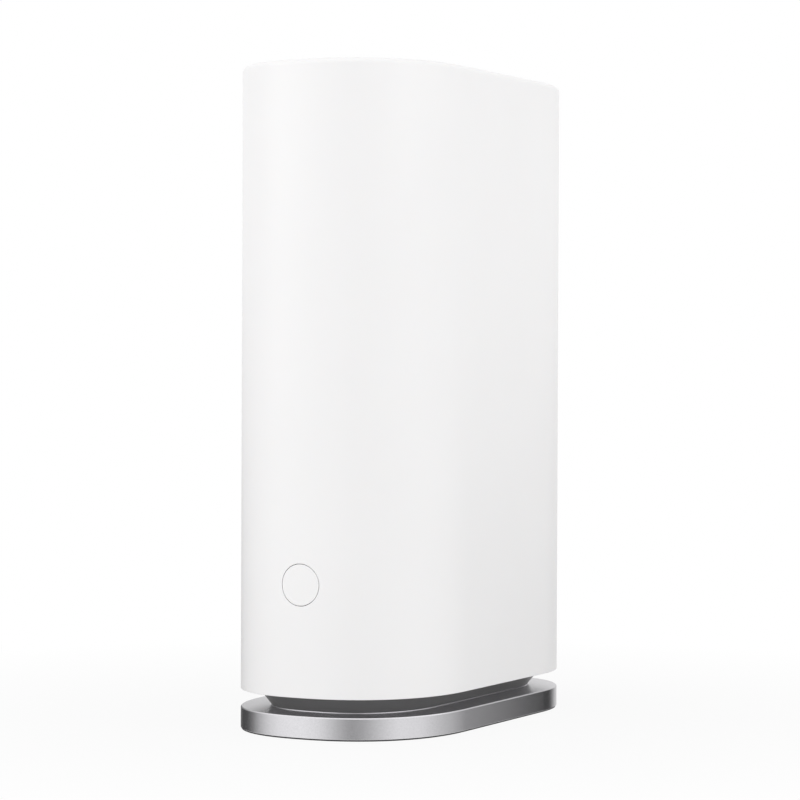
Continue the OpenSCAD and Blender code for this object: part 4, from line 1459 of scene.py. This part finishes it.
@dataclass
class Sockets:
    """The tray in the rear recess with its network jacks, power inlet, reset button and screws."""

    panel_y: float = 73 * MM
    panel_t: float = 2 * MM
    panel_edge: float = 0.2 * MM
    wall_gap: float = 2.9 * MM
    inside_zs: Pair = (20 * MM, 160 * MM)
    recess: SlabHole = RECESS
    rear_y: float = 82 * MM
    jack_y: float = 72.6 * MM
    jack_half_w: float = 8 * MM
    jack_half_h: float = 6.7 * MM
    jack_depth: float = 18 * MM
    mouth_x: float = -5 * MM
    mouth_w: float = 11.9 * MM
    mouth_h: float = 8.4 * MM
    mouth_depth: float = 13 * MM
    latch_w: float = 6.2 * MM
    latch_h: float = 1.6 * MM
    key_half_w: float = 1.6 * MM
    key_h: float = 0.8 * MM
    key_depth: float = 4 * MM
    contact_count: int = 9
    contact_pitch: float = 1.02 * MM
    contact_half_w: float = 0.16 * MM
    contact_h: float = 0.3 * MM
    contact_len: float = 9.4 * MM
    contact_sink: float = 0.05 * MM
    jack_edge: float = 0.22 * MM
    jack_zs: tuple[float, ...] = (65.7 * MM, 88.7 * MM, 107.7 * MM, 126.7 * MM)
    play: float = 0.3 * MM
    cut_corner: float = 0.5 * MM
    inlet_z: float = 41.2 * MM
    inlet_half_w: float = 4.5 * MM
    inlet_top: float = 4.3 * MM
    inlet_r: float = 2.8 * MM
    inlet_depth: float = 9.5 * MM
    inlet_back: float = 4.5 * MM
    inlet_corner: float = 0.6 * MM
    inlet_edge: float = 0.18 * MM
    collar_w: float = 0.45 * MM
    collar_depth: float = 0.5 * MM
    pin_r: float = 1.05 * MM
    pin_seat: float = 2 * MM
    pin_back: float = 1 * MM
    pin_steps: int = 6
    reset_z: float = 52.7 * MM
    reset_hole: float = 1.3 * MM
    reset_r: float = 1.6 * MM
    reset_round: float = 0.3 * MM
    reset_corner: float = 0.09 * MM
    sides: int = 40
    screw_x: float = 14 * MM
    screw_zs: Pair = (35.2 * MM, 134.7 * MM)
    screw_hole: float = 1.3 * MM
    screw_mm: tuple[Pair, ...] = (
        (0.35, 5.0), (1.1, 4.3), (1.1, 0.0), (2.0, 0.0), (2.0, -0.7), (1.85, -1.05), (1.5, -1.28),
        (1.0, -1.38), (0.4, -1.4))
    screw_h: float = 1.4 * MM
    screw_edge: float = 0.05 * MM
    cross_arm: float = 1.2 * MM
    cross_half_w: float = 0.26 * MM
    cross_depth: float = 0.75 * MM

    def screw_spots(self) -> list[Pair]:
        """Gives the x and z of the four screws in the tray."""
        return [(sx * self.screw_x, z) for z in self.screw_zs for sx in (-1, 1)]

    def panel(self) -> Piece:
        """Models the tray: a floor with cut-outs inside a wall that meets the shell.

        Returns:
            The tray as one closed solid.
        """
        slab = self.recess
        out = self.panel_t
        tray = block("panel", (-slab.half_w - out, self.panel_y - out, slab.low - out),
                     (slab.half_w + out, self.rear_y, slab.high + out), slab.corner + out, segments=8)
        cut(tray, [self.shell_inside()], "INTERSECT")
        cut(tray, [block("hollow", (-slab.half_w, self.panel_y, slab.low),
                         (slab.half_w, self.rear_y + PAST, slab.high), slab.corner, segments=8)])
        cut(tray, self.cutouts())
        break_edges(tray, self.panel_edge)
        return tray

    def shell_inside(self) -> Piece:
        """Makes the space inside the shell that the tray has to keep to."""
        return solid("inside", [PLAN.ring(self.wall_gap, z) for z in self.inside_zs])

    def cutouts(self) -> list[Piece]:
        """Makes the cutters for the sockets, the reset hole and the screws.

        Returns:
            The cutters.
        """
        near, far = self.panel_y - self.panel_t - PAST, self.panel_y + PAST
        half_h, half_w = self.jack_half_h + self.play, self.jack_half_w + self.play
        made = [block("cut", (-half_h, near, z - half_w), (half_h, far, z + half_w), self.cut_corner)
                for z in self.jack_zs]
        wide = self.inlet_half_w + self.play
        made.append(block("cut", (-half_h, near, self.inlet_z - wide),
                          (self.inlet_top + self.play, far, self.inlet_z + wide), self.cut_corner))
        made.append(rod("cut", (0, near, self.reset_z), "Y", self.reset_hole, far - near))
        made += [rod("cut", (x, near, z), "Y", self.screw_hole, far - near)
                 for x, z in self.screw_spots()]
        return made

    def jack(self) -> Piece:
        """Models one network jack round its own middle height: mouth, latch slot and key groove.

        Returns:
            The jack at height zero.
        """
        half_h, half_w = self.jack_half_h, self.jack_half_w
        body = block("jack", (-half_h, self.jack_y - self.jack_depth, -half_w),
                     (half_h, self.jack_y, half_w))
        roof = self.mouth_x + self.mouth_h
        back, front = self.jack_y - self.mouth_depth, self.jack_y + PAST
        half_mouth, half_latch = self.mouth_w / 2, self.latch_w / 2
        for low, high in (
                ((self.mouth_x, back, -half_mouth), (roof, front, half_mouth)),
                ((roof - PAST, back, -half_latch), (roof + self.latch_h, front, half_latch)),
                ((roof, self.jack_y - self.key_depth, -self.key_half_w),
                 (roof + self.latch_h + self.key_h, front, self.key_half_w))):
            cut(body, [block("mouth", low, high)])
        break_edges(body, self.jack_edge)
        contacts = []
        for index in range(self.contact_count):
            z = (index - (self.contact_count - 1) / 2) * self.contact_pitch
            contacts.append(block(
                "contact",
                (self.mouth_x - self.contact_sink, back - self.contact_sink, z - self.contact_half_w),
                (self.mouth_x + self.contact_h, back + self.contact_len, z + self.contact_half_w)))
        return joined([body, *contacts], "jack")

    def inlet(self) -> Piece:
        """Models the power inlet: a block with a collared round hole.

        Returns:
            The inlet as one closed solid.
        """
        back = self.jack_y - self.inlet_depth - self.inlet_back
        body = block("inlet", (-self.jack_half_h, back, self.inlet_z - self.inlet_half_w),
                     (self.inlet_top, self.jack_y, self.inlet_z + self.inlet_half_w),
                     self.inlet_corner)
        cut(body, [rod("hole", (0, self.jack_y - self.inlet_depth, self.inlet_z), "Y",
                       self.inlet_r, self.inlet_depth + PAST, sides=64)])
        cut(body, [rod("step", (0, self.jack_y - self.collar_depth, self.inlet_z), "Y",
                       self.inlet_r + self.collar_w, 2 * PAST, sides=64)])
        break_edges(body, self.inlet_edge)
        return body

    def turned(self, name: str, z: float, profile: Iterable[Pair]) -> Piece:
        """Turns a small round part about a line along Y.

        Args:
            name: Name of the part.
            z: Height of its middle line.
            profile: Radius and y of each ring.

        Returns:
            The part as one closed solid.
        """
        return solid(name, [circle(r, self.sides, lambda a, b, y=y: Vector((a, y, z + b)))
                            for r, y in profile])

    def pin(self) -> Piece:
        """Models the inlet's centre pin with its domed tip.

        Returns:
            The pin as one closed solid.
        """
        foot = self.jack_y - self.inlet_depth - self.pin_seat
        tip = self.jack_y - self.pin_back
        dome = [(self.pin_r * math.cos(t), tip - self.pin_r * (1 - math.sin(t)))
                for t in (math.pi / 2 * i / self.pin_steps for i in range(self.pin_steps))]
        profile = [(self.pin_r * 0.5, foot), (self.pin_r, foot), *dome, (self.pin_r * 0.12, tip)]
        return self.turned("inlet_pin", self.inlet_z, profile)

    def reset(self) -> Piece:
        """Models the reset button with its rounded tip.

        Returns:
            The reset button as one closed solid.
        """
        low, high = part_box("reset_button")
        r, tip, corner = self.reset_r, self.reset_round, self.reset_corner
        profile = [(r * 0.5, low.y), (r, low.y), (r, high.y - tip), (r - corner, high.y - corner),
                   (r - tip, high.y), (r * 0.4, high.y)]
        return self.turned("reset_tip", self.reset_z, profile)

    def screw(self) -> Piece:
        """Models a pan-head screw with a cross recess, round the line x = 0, z = 0.

        Returns:
            The screw as one closed solid.
        """
        profile = [(r * MM, self.panel_y - d * MM) for r, d in self.screw_mm]
        made = self.turned("panel_screw", 0.0, profile)
        top = self.panel_y + self.screw_h
        floor = top - self.cross_depth
        for x, z in ((self.cross_arm, self.cross_half_w), (self.cross_half_w, self.cross_arm)):
            cut(made, [block("arm", (-x, floor, -z), (x, top + PAST, z))])
        break_edges(made, self.screw_edge)
        return made

    def make(self) -> None:
        """Builds and dresses the tray and everything in it."""
        dress(self.panel(), PANEL_PLASTIC, "tower", "port_panel")
        first = self.jack()
        names = ("wan_jack", "lan_jack_1", "lan_jack_2", "lan_jack_3")
        for name, z in zip(names, self.jack_zs):
            twin = copy_of(first, name.replace("jack", "socket"), (0, 0, z))
            dress(twin, WAN_PLASTIC if name == "wan_jack" else LAN_PLASTIC, "tower", name)
        bpy.data.objects.remove(first)
        dress(self.inlet(), CHIP_BLACK, "tower", "power_jack")
        dress(self.pin(), SCREW_STEEL, "tower", "power_jack_pin")
        dress(self.reset(), IVORY_PLASTIC, "reset_button", "reset_button")
        single = self.screw()
        screws = [copy_of(single, "panel_screw", (x, 0, z)) for x, z in self.screw_spots()]
        bpy.data.objects.remove(single)
        dress(joined(screws, "tray_screws"), SCREW_STEEL, "tower", "panel_screws")


# ---- What the shell hides ----


@dataclass
class Inside:
    """The frame, the boards, the cooling and the radio parts, whose solids have their shapes."""

    def make(self) -> None:
        """Dresses each carried-over node in the finish of its slot."""
        for row in frame["record"]["subparts"]:
            node = frame["nodes"][row["node"]]
            if node.hide_render:
                continue
            finish = FINISHES[row["material_slot"]]
            material = finish.material()
            for slot in node.material_slots:
                slot.material = material
            log.info("%s: kept as built, %s", row["node"], finish.name)


# ---- Studio ----


@dataclass(frozen=True)
class Lamp:
    """A soft lamp on the circle of lamps.

    Its azimuth runs from the front towards the right, seen from above, in degrees.
    """

    name: str
    azimuth: float
    watts: float


@dataclass
class Studio:
    """The camera, a pale floor, a bright room, large soft lamps and a glowing ring of painted
    reflections for the gloss.
    """

    eye: tuple[float, float, float] = (0.5183, -0.9987, 0.1383)
    yaw: float = 27.497
    pitch: float = -0.0114
    roll: float = 0.0038
    lens: float = 129.13
    shift: float = -0.0048
    sensor: float = 36
    nearest: float = 0.05
    farthest: float = 100
    room: float = 0.827
    lamps: tuple[Lamp, ...] = (
        Lamp("left", -45, 6.38), Lamp("front_left", -20, 1.44), Lamp("front_right", 45, 2.00),
        Lamp("right", 79, 4.62), Lamp("rear_right", 110, 1.54))
    lamp_z: float = 0.6
    lamp_away: float = 1.6
    lamp_size: Pair = (1.0, 1.2)
    aim_z: float = 0.12
    floor_half: float = 30.0
    floor_grey: float = 0.62
    floor_white: Pair = (0.9, 1.0)
    floor_fade: Pair = (0.1, 0.32)
    ring_radius: float = 0.2
    ring_sides: int = 96
    ring_heights: Pair = (-0.075, 0.22)
    ring_fade: Pair = (0.02, 0.2)
    # Painted reflection: how bright the ring glows at each azimuth in degrees, which the plate's
    # metal mirrors as its dark and light bands.
    greys: tuple[Pair, ...] = (
        (-180, 0.7), (-150, 0.68), (-134, 0.62), (-118, 0.18), (-104, 0.06), (-84, 0.07), (-70, 0.17),
        (-56, 0.44), (-44, 0.65), (-30, 0.81), (-16, 0.87), (-6, 0.78), (2, 0.61), (10, 0.45),
        (18, 0.33), (28, 0.39), (42, 0.59), (60, 0.79), (84, 0.76), (106, 0.57), (120, 0.49),
        (134, 0.345), (140, 0.275), (144, 0.17), (150, 0.01), (158, 0.06), (166, 0.43), (174, 0.72),
        (180, 0.7))

    def camera(self) -> None:
        """Places the camera."""
        bpy.ops.object.camera_add(location=self.eye)
        camera = bpy.context.object
        turn = math.radians(self.yaw)
        look = Vector((-math.sin(turn), math.cos(turn), math.tan(self.pitch)))
        aim = look.to_track_quat("-Z", "Y").to_matrix().to_4x4()
        roll = Matrix.Rotation(self.roll, 4, "Z")
        camera.matrix_world = Matrix.Translation(self.eye) @ aim @ roll
        camera.data.lens = self.lens
        camera.data.sensor_width = self.sensor
        camera.data.shift_y = self.shift
        camera.data.clip_start = self.nearest
        camera.data.clip_end = self.farthest
        bpy.context.scene.camera = camera

    def painted_reflection_ring(self) -> None:
        """Sets a glowing ring round the plate, with grey bands of painted reflection by azimuth and
        white at its top, which only gloss shows.
        """
        rings = [circle(self.ring_radius, self.ring_sides, lambda a, b, z=z: Vector((a, b, z)))
                 for z in self.ring_heights]
        bench = Bench("painted_reflection_ring", rings[0])
        bench.through(rings)
        ring = bench.close()
        nodes = Nodes("painted_reflection_glow")
        split = nodes.add("SeparateXYZ", {0: nodes.place})
        front = nodes.add("Math", {0: split.outputs["Y"], 1: -1.0}, operation="MULTIPLY").outputs[0]
        turn = nodes.add("Math", {0: split.outputs["X"], 1: front}, operation="ARCTAN2").outputs[0]
        place = nodes.between(turn, 0.0, 1.0, (-math.pi, math.pi))
        ramp = nodes.add("ValToRGB", {0: place})
        stops = ramp.color_ramp.elements
        while len(stops) < len(self.greys):
            stops.new(0.5)
        for stop, (azimuth, level) in zip(stops, self.greys):
            stop.position = (azimuth + 180) / 360
            stop.color = (level, level, level, 1)
        fade = nodes.between(split.outputs["Z"], 0.0, 1.0, self.ring_fade)
        shade = nodes.add("Mix", {0: fade, 6: ramp.outputs["Color"], 7: WHITE}, data_type="RGBA")
        # The ring glows with these painted reflection greys. It lights nothing, and only gloss sees
        # it.
        glow = nodes.add("Emission", {"Color": shade.outputs[2], "Strength": 1.0})
        nodes.show(glow.outputs[0])
        ring.data.materials.append(nodes.material)
        ring.visible_camera = False
        ring.visible_diffuse = False
        ring.visible_transmission = False
        ring.visible_shadow = False

    def floor(self) -> None:
        """Lays the floor, which is white to the eye and keeps a faint shadow near the plate."""
        deselect_all()
        bpy.ops.mesh.primitive_plane_add(size=2 * self.floor_half, location=(0, 0, 0))
        floor = bpy.context.object
        floor.name = "floor"
        nodes = Nodes("floor_card")
        nodes.put("Base Color", (self.floor_grey, self.floor_grey, self.floor_grey, 1))
        nodes.put("Roughness", 0.9)
        nodes.put("Specular IOR Level", 0.0)
        away = nodes.add("VectorMath", {0: nodes.place}, operation="LENGTH").outputs["Value"]
        far = nodes.between(away, *self.floor_white, self.floor_fade)
        share = nodes.add("Math", {0: far, 1: nodes.seen()}, operation="MULTIPLY").outputs[0]
        white = nodes.add("Emission", {"Color": WHITE, "Strength": 1.0}).outputs[0]
        mix = nodes.add("MixShader", {0: share, 1: nodes.shader.outputs[0], 2: white})
        nodes.show(mix.outputs[0])
        floor.data.materials.append(nodes.material)
        floor.visible_glossy = False

    def world(self) -> None:
        """Fills the room with soft light, and shows plain white behind the object."""
        world = bpy.data.worlds.new("room")
        world.use_nodes = True
        bpy.context.scene.world = world
        world.node_tree.nodes.clear()
        tree = Tree(world.node_tree)
        soft = tree.add("Background", {"Color": WHITE, "Strength": self.room}).outputs[0]
        white = tree.add("Background", {"Color": WHITE}).outputs[0]
        mix = tree.add("MixShader", {0: tree.seen(), 1: soft, 2: white}).outputs[0]
        tree.add("OutputWorld", {"Surface": mix})

    def hang(self, lamp: Lamp) -> None:
        """Hangs a lamp that looks at the middle of the tower.

        Args:
            lamp: The lamp.
        """
        turn = math.radians(lamp.azimuth)
        away = self.lamp_away
        place = Vector((away * math.sin(turn), -away * math.cos(turn), self.lamp_z))
        bpy.ops.object.light_add(type="AREA", location=place)
        hung = bpy.context.object
        hung.name = lamp.name
        hung.data.shape = "RECTANGLE"
        hung.data.size, hung.data.size_y = self.lamp_size
        hung.data.energy = lamp.watts
        hung.rotation_mode = "QUATERNION"
        hung.rotation_quaternion = (Vector((0, 0, self.aim_z)) - place).to_track_quat("-Z", "Y")

    def make(self) -> None:
        """Sets the studio up."""
        bpy.context.scene.view_settings.view_transform = "Standard"
        self.camera()
        self.floor()
        self.world()
        self.painted_reflection_ring()
        for lamp in self.lamps:
            self.hang(lamp)


def main() -> None:
    """Builds the router in order, from the shell to the studio."""
    logging.basicConfig(level=logging.INFO, format="%(name)s: %(message)s")
    for assembly in (Shell(), FrontButton(), TopGrille(), Base(), Sockets(), Inside(), Studio()):
        assembly.make()
        log.info("%s done", type(assembly).__name__)


if __name__ == "__main__":
    main()
